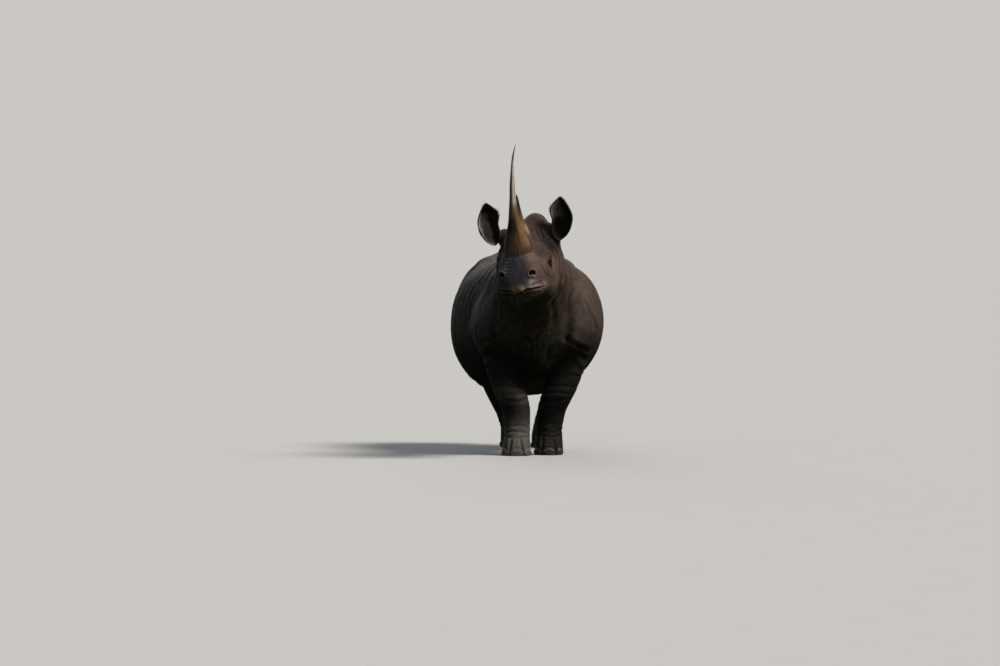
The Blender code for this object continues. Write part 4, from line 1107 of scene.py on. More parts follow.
# Ears: pale on the outer part of the cup, pale skin made brighter as painted light; painted shade darkens the cup's
# depth, and it is dark along the rim.
earRows = smoothRows(earPiece["rows"], 40).T
for side in (1, -1):
    inFrame = (Matrix.Translation(start) @ earPlace(side)).inverted()
    across, deep, up = moved(pointsOf(skinMesh), inFrame).T
    across = across * side
    within = (up > -0.01) & (up < 0.32) & (np.abs(across - 0.02) < 0.11) & (np.abs(deep) < 0.085)
    within &= (w > 0.25) & (np.abs(u) > 0.12)
    turned = normals @ np.array(inFrame)[:3, :3].T * (side, 1, 1)
    shift, half, depth = (np.interp(up, earRows[0], row) for row in earRows[1:])
    across = (across - shift) / np.maximum(half, 0.01)
    deep = deep / np.maximum(depth, 0.01)
    radius = np.hypot(across, deep)
    faces = -(turned[:, 0] * across + turned[:, 1] * deep) / np.maximum(radius, 0.05)
    inner = within * np.maximum(ease(0.0, 0.35, faces), radius < 0.5) * ease(1.04, 0.94, radius)
    outer = within * (1 - inner)
    paint("warm", 0.7 * outer)
    paint("slate", 0.5 * outer)
    if side > 0:
        pale = 0.55 * ease(0.25, -0.25, across + 0.3 * fine) * ease(0.14, 0.19, up)
    else:
        pale = ease(-0.2, 0.2, across + 0.25 * fine + 1.2 * (0.12 - up)) * ease(0.25, 0.18, up)
    # Painted shade: the inner face of each cup near black, with the pale part laid over it.
    paint("earDark", inner)
    paint("earPale", inner * pale * (0.78 + 0.5 * fine))
    paint("earDark", 0.6 * within * ease(0.94, 0.99, radius) * ease(0.1, -0.25, deep))
# Beside the left eye a dark blob, partly dark skin and partly painted shade; painted shade in the creases of the
# temple and the cheek; reddish between the folds of the throat.
besideEye = spotAt(own, sculpt.look("front", 0.13, 1.35), (0.021, 0.06, 0.023))
paint("eyeRing", 0.85 * ease(0.2, 0.65, besideEye + 0.12 * fine))
paint("inside", 0.75 * ease(0.5, 0.85, besideEye))
paint("inside", 0.85 * temple * np.clip(1.7 * crease, 0, 1))
paint("redCrease", 1.3 * spotAt(own, sculpt.look("front", 0.126, 1.262), (0.045, 0.07, 0.045)) * crease)
throat = spotAt(own * (1, 0, 1), (-0.007, 0, 0.905), (0.055, 1, 0.045)) * (y < -0.2)
paint("redCrease", 0.55 * throat * (0.8 + 0.6 * patches))
colours *= (1 + 0.2 * patches + 0.12 * fine + 0.1 * broad)[:, None]
# Painted shade darkens the creases and hollows, and a painted highlight lightens the raised skin.
wearAndPaintedLight = 0.42 * np.clip(crease, 0, 1) + 0.28 * np.clip(hollow, 0, 1) - 0.22 * np.clip(-hollow, 0, 1)
colours *= (1 - wearAndPaintedLight)[:, None]
storeColours(skinMesh, colours)
dusty = (onFoot + onKnee) * paler + 0.35 * ease(0.66, 0.95, z) + 0.3 * ease(0.3, 0.9, normals[:, 2])
store(skinMesh, "dusty", np.clip(dusty * (1 - 0.7 * onHead) * (1 - 0.8 * inShoulder), 0, 1))
store(skinMesh, "moist", np.clip(hollowed + socket + 0.35 * stain, 0, 1))
store(skinMesh, "legs", onLegs)
store(skinMesh, "fineSkin", np.clip(onHead + 0.5 * onFoot, 0, 1))
print("markings laid on the hide")


# A wire is the output of a node; sums on wires add the nodes that work them out.
class Wire:
    def __init__(self, tree, socket):
        self.tree, self.socket = tree, socket

    def maths(self, operation, other=None, clamp=False):
        return self.tree.wire("ShaderNodeMath", 0, {0: self, 1: other}, operation=operation, use_clamp=clamp)

    def __add__(self, other):
        return self.maths("ADD", other)

    def __sub__(self, other):
        return self.maths("SUBTRACT", other)

    def __mul__(self, other):
        return self.maths("MULTIPLY", other)

    def __pow__(self, other):
        return self.maths("POWER", other)

    def ramp(self, low, high, first=0.0, last=1.0):
        values = {"Value": self, "From Min": low, "From Max": high, "To Min": first, "To Max": last}
        return self.tree.wire("ShaderNodeMapRange", "Result", values, interpolation_type="SMOOTHSTEP")

    def noise(self, scale, detail=3.0, rough=0.55, distortion=0.0):
        values = {"Vector": self, "Scale": scale, "Detail": detail, "Roughness": rough, "Distortion": distortion}
        return self.tree.wire("ShaderNodeTexNoise", "Fac", values)

    def stretched(self, *scale):
        return self.tree.wire("ShaderNodeMapping", "Vector", {"Vector": self, "Scale": scale})

    def axis(self, name):
        return self.tree.wire("ShaderNodeSeparateXYZ", name, {0: self})

    # This factor blends the first value into the second.
    def blend(self, first, second):
        return self.tree.wire("ShaderNodeMix", 0, {"Factor": self, 2: first, 3: second}, data_type="FLOAT")

    def tinted(self, factor, tint):
        return self.tree.mixed(factor, self, tint)

    def grey(self):
        return self.tree.wire("ShaderNodeCombineColor", 0, {0: self, 1: self, 2: self})

    def shaded(self, value):
        return self.tree.mixed(1.0, self, value.grey(), "MULTIPLY")


class Tree:
    def __init__(self, tree):
        self.tree = tree

    def feed(self, made, values):
        for key, value in values.items():
            target = made.inputs[key]
            if isinstance(value, Wire):
                self.tree.links.new(value.socket, target)
            elif value is not None:
                target.default_value = (*value, 1.0) if target.type == "RGBA" else value

    def add(self, kind, values, **settings):
        made = self.tree.nodes.new(kind)
        for key, value in settings.items():
            setattr(made, key, value)
        self.feed(made, values)
        return made

    def wire(self, kind, out, values=None, **settings):
        return Wire(self, self.add(kind, values or {}, **settings).outputs[out])

    def attribute(self, name, out="Fac"):
        return self.wire("ShaderNodeAttribute", out, attribute_name=name)

    def place(self):
        return self.wire("ShaderNodeTexCoord", "Object")

    def mixed(self, factor, first, second, mode="MIX"):
        values = {"Factor": factor, 6: first, 7: second}
        return self.wire("ShaderNodeMix", 2, values, data_type="RGBA", blend_type=mode)

    def group(self, group, **values):
        made = self.add("ShaderNodeGroup", values, node_tree=group)
        return [Wire(self, socket) for socket in made.outputs]

    def bump(self, shader, *layers):
        normal = None
        for height, strength, distance in layers:
            values = {"Strength": strength, "Distance": distance, "Height": height, "Normal": normal}
            normal = self.wire("ShaderNodeBump", "Normal", values)
        self.feed(shader, {"Normal": normal})


def newGroup(name, inputs, outputs):
    made = bpy.data.node_groups.new(name, "ShaderNodeTree")
    for label, value in inputs.items():
        kind = "NodeSocketVector" if value is None else "NodeSocketFloat"
        socket = made.interface.new_socket(label, in_out="INPUT", socket_type=kind)
        if value is not None:
            socket.default_value = value
    for label in outputs:
        made.interface.new_socket(label, in_out="OUTPUT", socket_type="NodeSocketFloat")
    tree = Tree(made)
    given = tree.add("NodeGroupInput", {}).outputs[: len(inputs)]
    return made, tree, [Wire(tree, socket) for socket in given], tree.add("NodeGroupOutput", {})


# Cracked hide: plates between cracks, smaller ones inside them, and pores.
crackedHide, tree, (place, plates, pores), result = newGroup(
    "crackedHide", {"Vector": None, "Plates": 70.0, "Pores": 600.0}, ("Height", "Cracks")
)
warp = tree.wire("ShaderNodeTexNoise", "Color", {"Vector": place, "Scale": 22.0, "Detail": 2.0})
warped = tree.wire("ShaderNodeVectorMath", 0, {0: warp, 1: (0.02, 0.02, 0.02), 2: place}, operation="MULTIPLY_ADD")


def crackLines(scale, width):
    values = {"Vector": warped, "Scale": scale, "Randomness": 1.0}
    edges = warped.tree.wire("ShaderNodeTexVoronoi", "Distance", values, feature="DISTANCE_TO_EDGE")
    return edges.ramp(0.0, width, 1.0, 0.0)


small = crackLines(plates * 2.6, 0.2) * 0.55
cracks = crackLines(plates, 0.16).maths("MAXIMUM", small) * place.noise(9.0, 2.0).ramp(0.35, 0.65, 0.35, 1.0)
tree.feed(result, {"Height": place.noise(pores, 2.0) * 0.35 - cracks, "Cracks": cracks})

# Dry dust: it lies in soft patches.
dustPatches, tree, (place, size, amount), result = newGroup(
    "dustPatches", {"Vector": None, "Size": 8.0, "Amount": 0.5}, ("Dust",)
)
dust = place.noise(size, 6.0, 0.65) * 0.8 + place.noise(260.0, 2.0) * 0.2
tree.feed(result, {"Dust": dust.ramp(0.38, 0.66).maths("MULTIPLY", amount, clamp=True)})

# Long fibres along a piece: streaks and fine cracks.
hornFibres, tree, (place, fineness), result = newGroup(
    "hornFibres", {"Vector": None, "Fineness": 160.0}, ("Height", "Streaks")
)
streaks, wide = place.noise(fineness, 5.0, 0.7), place.noise(fineness * 0.25, 3.0)
tree.feed(result, {"Height": streaks + wide * 0.6, "Streaks": (streaks + wide * 0.8).ramp(0.65, 1.15)})


def newMaterial(name, roughness, specular, coat=0.0):
    made = bpy.data.materials.new(name)
    made.use_nodes = True
    tree, shader = Tree(made.node_tree), made.node_tree.nodes["Principled BSDF"]
    tree.feed(shader, {"Roughness": roughness, "Specular IOR Level": specular, "Coat Weight": coat})
    return made, tree, shader


def finishedPiece(name, mesh, material, smooth=True):
    mesh.name = name
    mesh.materials.clear()
    mesh.materials.append(material)
    mesh.polygons.foreach_set("use_smooth", np.full(len(mesh.polygons), smooth))
    return makeObject(name, mesh)


def replaced(piece, slotName, *nodes):
    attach(piece, "root")
    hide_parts(*nodes)


# The hide: cracks, wrinkles that stand on the trunk and lie level on the legs, with painted shade in the wrinkles'
# low lines and a painted highlight on their high ones, dust, and damp places.
hideMaterial, tree, shader = newMaterial("hide", 0.78, 0.18)
place = tree.place()
onFine = tree.attribute("fineSkin")
coarse, coarseCracks = tree.group(crackedHide, Vector=place, Plates=88.0, Pores=420.0)
finer, finerCracks = tree.group(crackedHide, Vector=place, Plates=165.0, Pores=900.0)
upright = place.stretched(34, 34, 5).noise(1.6, 4.0, 0.6, 0.4)
level = place.stretched(7, 7, 55).noise(1.5, 4.0, 0.6, 0.5)
wrinkles = tree.attribute("legs").blend(upright, level)
cracks = onFine.blend(coarseCracks, finerCracks)
colour = tree.attribute("markings", "Color").shaded(place.noise(24.0, 6.0, 0.65).ramp(0.25, 0.75, 0.72, 1.25))
# Painted shade and highlight: the colour follows the wrinkles' height, darker low and lighter high.
colour = colour.shaded(wrinkles.ramp(0.3, 0.7, 0.84, 1.12))
(dust,) = tree.group(dustPatches, Vector=place, Size=7.0, Amount=0.38)
colour = colour.tinted(dust.maths("MULTIPLY", tree.attribute("dusty"), clamp=True), (0.19, 0.165, 0.14))
colour = colour.tinted(cracks * 0.26, (0.02, 0.016, 0.012))
rough = place.noise(40.0).ramp(0.3, 0.7, 0.66, 0.86) - tree.attribute("moist") * 0.35
tree.feed(shader, {"Base Color": colour, "Roughness": rough})
tree.bump(shader, (wrinkles, 0.55, 0.0055), (onFine.blend(coarse, finer), 0.55, 0.0012))
skin = finishedPiece("skin", skinMesh, hideMaterial)
replaced(skin, "hide", *trunkNodes, *legNodes, *earNodes)
print("hide painted")

# Eyes: a ball with a cornea, a brown iris and a level pupil.
eyePiece = {"radius": 0.0165, "cornea": 0.0016, "corneaWidth": 0.55, "around": 48, "rings": 32}
eyeMaterial, tree, shader = newMaterial("eye", 0.2, 0.2, coat=0.12)
gaze = tree.attribute("gaze", "Vector")
level, upright = gaze.axis("X"), gaze.axis("Y")


def fromMiddle(level):
    return (level * level + upright * upright).maths("SQRT")


irisPlace = fromMiddle(level)
colour = tree.mixed(gaze.noise(22.0), (0.026, 0.009, 0.005), (0.075, 0.028, 0.014))
colour = colour.tinted(irisPlace.ramp(0.56, 0.68), (0.034, 0.018, 0.014))
colour = colour.tinted(fromMiddle(level * 0.62).ramp(0.24, 0.17), (0.004, 0.003, 0.003))
rough = irisPlace.ramp(0.5, 0.9, 0.08, 0.3)
tree.feed(shader, {"Base Color": colour, "Roughness": rough, "Coat Roughness": 0.08})
for side, name in ((1, "left"), (-1, "right")):
    out, across, up = eyeAxes(side)
    bm = bmesh.new()
    bmesh.ops.create_uvsphere(
        bm, u_segments=eyePiece["around"], v_segments=eyePiece["rings"], radius=eyePiece["radius"]
    )
    mesh = meshFrom(bm, "eye")
    co = pointsOf(mesh)
    flat = co[:, :2] / eyePiece["radius"]
    bulge = np.exp(-((np.hypot(flat[:, 0], flat[:, 1]) / eyePiece["corneaWidth"]) ** 4)) * (co[:, 2] > 0)
    co *= (1 + bulge * eyePiece["cornea"] / eyePiece["radius"])[:, None]
    flat = np.where((co[:, 2] < 0)[:, None], 2, flat)
    store(mesh, "gaze", np.column_stack([flat, np.zeros(len(co))]), "FLOAT_VECTOR", "vector")
    setPoints(mesh, moved(co @ np.array([across, up, out]) + np.array(eyeAt[side]), headInFrame))
    replaced(finishedPiece("eyeball_" + name, mesh, eyeMaterial), "eye", "eye_" + name)
print("eyes made")

# Horns. Each row is the height, the place back from the lip, the half width and the half length.
horns = {
    "horn_front": {
        "rows": (
            (0.185, 0.137, 0.08, 0.086),
            (0.235, 0.136, 0.093, 0.09),
            (0.27, 0.134, 0.094, 0.088),
            (0.32, 0.127, 0.083, 0.078),
            (0.385, 0.119, 0.063, 0.062),
            (0.45, 0.115, 0.043, 0.047),
            (0.51, 0.119, 0.033, 0.037),
            (0.62, 0.145, 0.0215, 0.025),
            (0.73, 0.184, 0.0155, 0.018),
            (0.79, 0.212, 0.0107, 0.013),
            (0.85, 0.25, 0.0075, 0.0095),
            (0.905, 0.31, 0.0055, 0.0065),
            (0.962, 0.408, 0.0015, 0.002),
        ),
        "base": 0.27,
        "rough": 0.0042,
        "seed": 3,
    },
    "horn_rear": {
        "rows": (
            (0.245, 0.296, 0.086, 0.076),
            (0.3, 0.292, 0.078, 0.07),
            (0.345, 0.288, 0.068, 0.064),
            (0.39, 0.285, 0.053, 0.052),
            (0.45, 0.281, 0.033, 0.034),
            (0.49, 0.279, 0.024, 0.026),
            (0.55, 0.277, 0.0145, 0.016),
            (0.6, 0.275, 0.009, 0.01),
            (0.63, 0.274, 0.0015, 0.002),
        ),
        "base": 0.32,
        "rough": 0.0036,
        "seed": 9,
    },
}
hornMesh = {"around": 96, "rings": 190}
hornMaterial, tree, shader = newMaterial("horn", 0.5, 0.3)
fibres, streaks = tree.group(hornFibres, Vector=tree.attribute("grain", "Vector"), Fineness=150.0)
mottle = tree.place().noise(30.0, 5.0, 0.6).ramp(0.3, 0.7, 0.75, 1.2)
colour = tree.attribute("markings", "Color").shaded(mottle).shaded(streaks.ramp(0.0, 1.0, 1.15, 0.55))
tree.feed(shader, {"Base Color": colour, "Roughness": fibres.ramp(0.5, 1.1, 0.38, 0.66)})
tree.bump(shader, (fibres, 0.65, 0.0018))


def grownHorn(details):
    rows = smoothRows(details["rows"], hornMesh["rings"])
    around, seed = hornMesh["around"], details["seed"]
    angles = np.arange(around) / around * 2 * math.pi
    cosines, sines = np.cos(angles), np.sin(angles)
    lean = np.arctan(np.gradient(rows[:, 1], rows[:, 0]))
    points, heights, grain = [], [], []

    def ringAt(reach, height):
        return np.column_stack([cosines * reach, sines * reach, np.full(around, height)])

    for (height, back, half, length), tip in zip(rows, lean):
        thick = (half + length) / 2
        fray = ease(details["base"] + 0.07, rows[0, 0], height)
        lines = ringAt(7, height * 5)
        ripple = noise(lines, seed) + 0.6 * noise(lines * 2.3, seed + 1)
        out = 1 + (0.0011 + details["rough"] * fray) * ripple / max(thick, 0.004) * min(1, thick / 0.02)
        out += 0.01 * noise(ringAt(1, height * 42), seed + 2) * fray
        x, y = half * cosines * out, length * sines * out
        points.append(np.column_stack([x, back + y * math.cos(tip), height - y * math.sin(tip)]))
        heights.append(np.full(around, height))
        grain.append(ringAt(0.05, height * 0.06))
    points = np.concatenate(points)
    faces = []
    for first in range(0, len(points) - around, around):
        for k in range(around):
            n = (k + 1) % around
            faces.append((first + k, first + n, first + around + n, first + around + k))
    faces.append(tuple(range(around))[::-1])
    faces.append(tuple(range(len(points) - around, len(points))))
    mesh = bpy.data.meshes.new("horn")
    mesh.from_pydata(moved(points, headInFrame).tolist(), [], faces)
    store(mesh, "grain", np.concatenate(grain), "FLOAT_VECTOR", "vector")
    return mesh, points, np.concatenate(heights)


hornColours = {
    "base": (0.12, 0.058, 0.018),
    "goldAndPaintedLight": (0.3, 0.17, 0.068),
    "brown": (0.014, 0.008, 0.005),
    "shaft": (0.095, 0.05, 0.021),
    "wearAndPaintedLight": (0.52, 0.45, 0.35),
    "shade": (0.05, 0.038, 0.022),
    "tip": (0.03, 0.032, 0.022),
    "root": (0.105, 0.07, 0.052),
}
for name, details in horns.items():
    mesh, points, height = grownHorn(details)
    rows = np.array(details["rows"])
    base, top = details["base"], rows[-1, 0]
    back = np.interp(height, rows[:, 0], rows[:, 1])
    side = points[:, 0] / np.maximum(np.hypot(points[:, 0], points[:, 1] - back), 1e-4)
    blotch = cloud(points * (1, 1, 0.45), 0.05, details["seed"] + 20)
    colours, paint = paintbox(len(points), hornColours, "shaft")
    paint("base", ease(base + 0.3, base + 0.05, height + 0.06 * blotch))
    upper = 0.5 + 0.5 * ease(base + 0.1, base + 0.3, height)
    paint("shade", 0.75 * ease(0.0, -0.9, side + 0.3 * blotch) * upper)
    if name == "horn_front":
        patch = ease(0.365, 0.39, height + 0.02 * blotch) * ease(0.5, 0.455, height + 0.03 * blotch)
        paint("brown", 0.92 * patch * ease(0.55, 0.1, side + 0.5 * blotch))
        paint("brown", 0.45 * ease(0.35, 0.8, blotch) * ease(0.42, 0.36, height))
    # Whitish on the upper horn's left side, the lit side: partly wear, partly painted highlight.
    paint("wearAndPaintedLight", 0.9 * ease(-0.15, 0.55, side + 0.3 * blotch) * ease(base + 0.24, base + 0.34, height))
    # Gold low on the horn's left side, brighter there as painted light.
    paint("goldAndPaintedLight", 0.75 * ease(0.3, 0.9, side + 0.55 * blotch) * ease(base + 0.34, base + 0.22, height))
    if name == "horn_rear":
        # Painted highlight: a white streak low on the rear horn's left edge.
        edge = ease(base + 0.02, base + 0.05, height) * ease(base + 0.11, base + 0.07, height)
        paint("wearAndPaintedLight", 0.5 * ease(0.7, 0.95, side) * edge)
    paint("root", 0.95 * ease(base + 0.05, base, height + 0.05 * blotch))
    paint("tip", 0.95 * ease(top - 0.2, top - 0.06, height + 0.03 * blotch))
    storeColours(mesh, colours)
    replaced(finishedPiece("grown_" + name, mesh, hornMaterial), "horn", name)
print("horns made")

# Nails: each foot's three nails, rounded, with growth lines and a worn lower edge.
nails = {"voxel": 0.0017, "smooth": 8, "triangles": 4200, "swell": 0.0006, "line": 0.0007, "low": 0.0006}
nailMaterial, tree, shader = newMaterial("nail", 0.55, 0.4)
place = tree.place()
streaks = place.stretched(210, 210, 26).noise(1.0, 4.0, 0.6)
bands = place.stretched(12, 12, 260).noise(1.0, 3.0, 0.5)
colour = tree.mixed(streaks.ramp(0.35, 0.7), (0.06, 0.05, 0.042), (0.165, 0.145, 0.12))
wearAndPaintedLight = (place.axis("Z") + streaks * 0.012).ramp(0.024, 0.01)
(dust,) = tree.group(dustPatches, Vector=place, Size=26.0, Amount=0.65)
colour = colour.tinted(wearAndPaintedLight * 0.65, (0.3, 0.27, 0.22)).tinted(dust, (0.2, 0.18, 0.155))
colour = colour.shaded(place.axis("X").ramp(0.0, 0.08, 0.8, 0.28))
tree.feed(shader, {"Base Color": colour, "Roughness": streaks.ramp(0.3, 0.7, 0.45, 0.75)})
tree.bump(shader, (streaks, 0.5, 0.0012), (bands, 0.4, 0.001))
for foot in ("fore_left", "fore_right", "hind_left", "hind_right"):
    names = [f"nail_{foot}_{toe}" for toe in ("inner", "middle", "outer")]
    mesh = remeshed(fleshCopy(names), nails["voxel"], nails["smooth"])
    co = pointsOf(mesh)
    lines = noise(co * (230, 230, 20), 6) + noise(co * (20, 20, 190), 7)
    setPoints(mesh, co + normalsOf(mesh) * (nails["swell"] + nails["line"] * lines)[:, None])
    mesh.calc_loop_triangles()
    share = min(1, 3 * nails["triangles"] / len(mesh.loop_triangles))
    mesh = throughModifiers(mesh, ("DECIMATE", {"ratio": share}))
    co = pointsOf(mesh)
    co[:, 2] = np.maximum(co[:, 2], nails["low"])
    setPoints(mesh, co + np.array(start))
    replaced(finishedPiece("nails_" + foot, mesh, nailMaterial), "nail", *names)
print("nails made")


# Hairs: Geometry Nodes set a tapered, bent bristle on each root and leave plain mesh.
def bristleTree(name, patch=0.003):
    made = bpy.data.node_groups.new(name, "GeometryNodeTree")
    sockets = {"Geometry": "Geometry", "Thickness": "Float", "Bend": "Float", "Segments": "Int", "Sides": "Int"}
    for label, kind in {**sockets, "Seed": "Int", "Material": "Material"}.items():
        made.interface.new_socket(label, in_out="INPUT", socket_type="NodeSocket" + kind)
    made.interface.new_socket("Geometry", in_out="OUTPUT", socket_type="NodeSocketGeometry")
    tree = Tree(made)
    given = {socket.name: Wire(tree, socket) for socket in tree.add("NodeGroupInput", {}).outputs}

    def geometry(kind, values, out=0, **settings):
        return tree.wire("GeometryNode" + kind, out, values, **settings)

    def named(name, kind):
        return geometry("InputNamedAttribute", {"Name": name}, "Attribute", data_type=kind)

    line = geometry("CurvePrimitiveLine", {"Start": (0, 0, 0), "End": (0, 0, 1)})
    line = geometry("ResampleCurve", {"Curve": line, "Count": given["Segments"]})
    up = geometry("InputPosition", {}).axis("Z")
    bend = tree.wire("ShaderNodeCombineXYZ", 0, {"X": up**2.0 * given["Bend"]})
    line = geometry("SetPosition", {"Geometry": line, "Offset": bend})
    along = geometry("SplineParameter", {}, "Factor") ** 1.5
    taper = (along * -1.0 + 1.0).maths("MAXIMUM", 0.06)
    line = geometry("SetCurveRadius", {"Curve": line, "Radius": taper})
    profile = geometry("CurvePrimitiveCircle", {"Resolution": given["Sides"], "Radius": given["Thickness"]})
    bristle = geometry("CurveToMesh", {"Curve": line, "Profile Curve": profile, "Fill Caps": True})
    values = {"Name": "alongHair", "Geometry": bristle, "Value": up}
    bristle = geometry("StoreNamedAttribute", values, data_type="FLOAT", domain="POINT")

    turn = tree.wire("FunctionNodeAlignRotationToVector", 0, {"Vector": named("way", "FLOAT_VECTOR")}, axis="Z")
    values = {"Rotation": turn, "Vector": named("sag", "FLOAT_VECTOR")}
    turn = tree.wire("FunctionNodeAlignRotationToVector", 0, values, axis="X", pivot_axis="Z")
    values = {2: 0.75, 3: 1.2, "Seed": given["Seed"]}
    vary = tree.wire("FunctionNodeRandomValue", 1, values, data_type="FLOAT")
    points = geometry("MeshToPoints", {"Mesh": given["Geometry"]})
    values = {"Points": points, "Instance": bristle, "Rotation": turn, "Scale": named("long", "FLOAT") * vary}
    hairs = geometry("RealizeInstances", {0: geometry("InstanceOnPoints", values)})
    # Each hair has a small patch of the map OFBake to itself.
    onHair = named("alongHair", "FLOAT")
    patchX, patchY = (onHair * 7.3).maths("FRACT") * patch, onHair * patch
    patch = tree.wire("ShaderNodeCombineXYZ", 0, {"X": patchX, "Y": patchY})
    total = tree.wire("ShaderNodeVectorMath", 0, {0: named("rootPlace", "FLOAT_VECTOR"), 1: patch}, operation="ADD")
    values = {"Name": "OFBake", "Geometry": hairs, "Value": total}
    hairs = geometry("StoreNamedAttribute", values, data_type="FLOAT2", domain="CORNER")
    hairs = geometry("SetShadeSmooth", {"Geometry": hairs})
    hairs = geometry("SetMaterial", {"Geometry": hairs, "Material": given["Material"]})
    tree.add("NodeGroupOutput", {"Geometry": hairs})
    return made


bristles = bristleTree("bristles")
bristleMaterial, tree, shader = newMaterial("bristle", 0.5, 0.35)
place = tree.place()
colour = tree.mixed(place.noise(140.0, 2.0).ramp(0.35, 0.7), (0.014, 0.011, 0.01), (0.05, 0.038, 0.03))
colour = colour.tinted(tree.attribute("alongHair") * 0.35, (0.095, 0.07, 0.05))
tree.feed(shader, {"Base Color": colour, "Roughness": place.noise(300.0, 2.0).ramp(0.3, 0.7, 0.4, 0.65)})
tree.bump(shader, (place.noise(1500.0, 2.0), 0.3, 0.0003))


# Each hair: its root, its way, the way it sags, its length and its place in the map.
def grownHairs(name, hairs, details, segments, sides, seed):
    roots, ways, sags, lengths, places = (np.array(part) for part in zip(*hairs))
    mesh = bpy.data.meshes.new("roots")
    mesh.from_pydata(roots.tolist(), [], [])
    places = np.column_stack([places, np.zeros(len(roots))])
    for key, values in (("way", ways), ("sag", sags), ("rootPlace", places)):
        store(mesh, key, values, "FLOAT_VECTOR", "vector")
    store(mesh, "long", lengths)
    growing = makeObject("growing", mesh)
    modifier = growing.modifiers.new("bristles", "NODES")
    modifier.node_group = bristles
    sizes = {"Thickness": details["thickness"], "Bend": details["bend"], "Segments": segments, "Sides": sides}
    sizes.update(Seed=seed, Material=bristleMaterial)
    for item in bristles.interface.items_tree:
        if item.in_out == "INPUT" and item.name in sizes:
            modifier[item.identifier] = sizes[item.name]
    made = evaluatedMesh(growing)
    bpy.data.objects.remove(growing)
    for spare in ("way", "sag", "rootPlace", "long"):
        if spare in made.attributes:
            made.attributes.remove(made.attributes[spare])
    return finishedPiece(name, made, bristleMaterial)


# Ear fringes along the rims, thickest at the inner upper corner, and a few long hairs in the cup.
fringe = {"perRim": 420, "length": 0.022, "corner": 0.026, "inside": 90, "thickness": 0.017, "bend": 0.28}
earRows = smoothRows(earPiece["rows"], 200)
lip, wall = earPiece["rimAngle"], earPiece["wall"]
for side, name in ((1, "left"), (-1, "right")):
    dice = np.random.default_rng(50 + side)
    place = Matrix.Translation(start) @ earPlace(side)
    turn = place.to_3x3()
    hairs = []
    for edge in (1, -1):
        angle = -lip if edge > 0 else math.pi + lip
        for share in np.sort(dice.uniform(0.1, 0.97, fringe["perRim"])):
            height, shift, half, depth = earRows[int(share * (len(earRows) - 1))]
            thin = dice.uniform(0.3, 0.9) * min(wall, half * 0.5)
            across, deep = (half - thin) * math.cos(angle), (depth - thin) * math.sin(angle) + 0.001
            out = Vector((edge * dice.uniform(0.15, 0.9), -1.0, dice.uniform(-0.1, 0.7)))
            if edge * side < 0:
                corner = math.exp(-(((share - 0.7) / 0.13) ** 2))
            else:
                corner = 0.35 * math.exp(-(((share - 0.9) / 0.12) ** 2))
            long = fringe["length"] * dice.uniform(0.35, 0.8) + fringe["corner"] * corner * dice.uniform(0.6, 1.2)
            sag = Vector((-edge * dice.uniform(0.2, 1.0), dice.uniform(-0.2, 0.2), dice.uniform(0.0, 1.0)))
            root = place @ Vector((side * shift + across, deep, height))
            spot = (0.05 + 0.2 * (side > 0) + 0.1 * (edge > 0), 0.03 + 0.9 * share)
            hairs.append((root, (turn @ out).normalized(), turn @ sag, long, spot))
    for _ in range(fringe["inside"]):
        share = dice.uniform(0.06, 0.55)
        height, shift, half, depth = earRows[int(share * (len(earRows) - 1))]
        angle = dice.uniform(0.15 * math.pi, 0.85 * math.pi)
        across, deep = (half - wall) * math.cos(angle), (depth - wall) * math.sin(angle)
        root = place @ Vector((side * shift + across, deep, height))
        way = (turn @ Vector((-0.4 * math.cos(angle), -1, dice.uniform(0.1, 0.9)))).normalized()
        sag = turn @ Vector((dice.uniform(-1, 1), 0, 1))
        spot = (0.5 + 0.2 * (side > 0) + 0.15 * angle / math.pi, 0.03 + 0.9 * share)
        hairs.append((root, way, sag, dice.uniform(0.012, 0.03), spot))
    piece = grownHairs("ear_fringe_" + name, hairs, fringe, segments=6, sides=4, seed=7 + side)
    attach(piece, "root")
print("ear fringes grown")

# Eyelashes on the upper lids.
lashes = {"count": 46, "length": 0.013, "thickness": 0.03, "bend": 0.35, "outside": 1.05, "span": 0.92}
hairs = []
dice = np.random.default_rng(81)
turn = headInFrame.to_3x3()
reach = lids["radius"] + lids["thick"]
for side in (1, -1):
    out, across, up = eyeAxes(side)
    for step in range(lashes["count"]):
        share = 2 * lashes["span"] * step / (lashes["count"] - 1) - lashes["span"] + dice.uniform(-0.02, 0.02)
        k = lids["high"] * (1 - lids["narrow"] * min(abs(share), 1) ** 2)
        k = k * math.sqrt(max(1 - share**2, 0)) * lashes["outside"] - lids["low"] + lids["slant"] * share
        flat = across * (share * lids["wide"]) + up * k
        root = headInFrame @ (eyeAt[side] + (flat + out * math.sqrt(max(reach**2 - flat.length_squared, 0))))
        way = (turn @ (out + 0.5 * share * across + up * dice.uniform(-0.25, 0.15))).normalized()
        spot = (0.9 + 0.04 * (side > 0), 0.5 + 0.4 * share)
        hairs.append((root, way, turn @ up, lashes["length"] * dice.uniform(0.7, 1.15), spot))
piece = grownHairs("eyelashes", hairs, lashes, segments=5, sides=3, seed=5)
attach(piece, "root")
print("lashes grown")

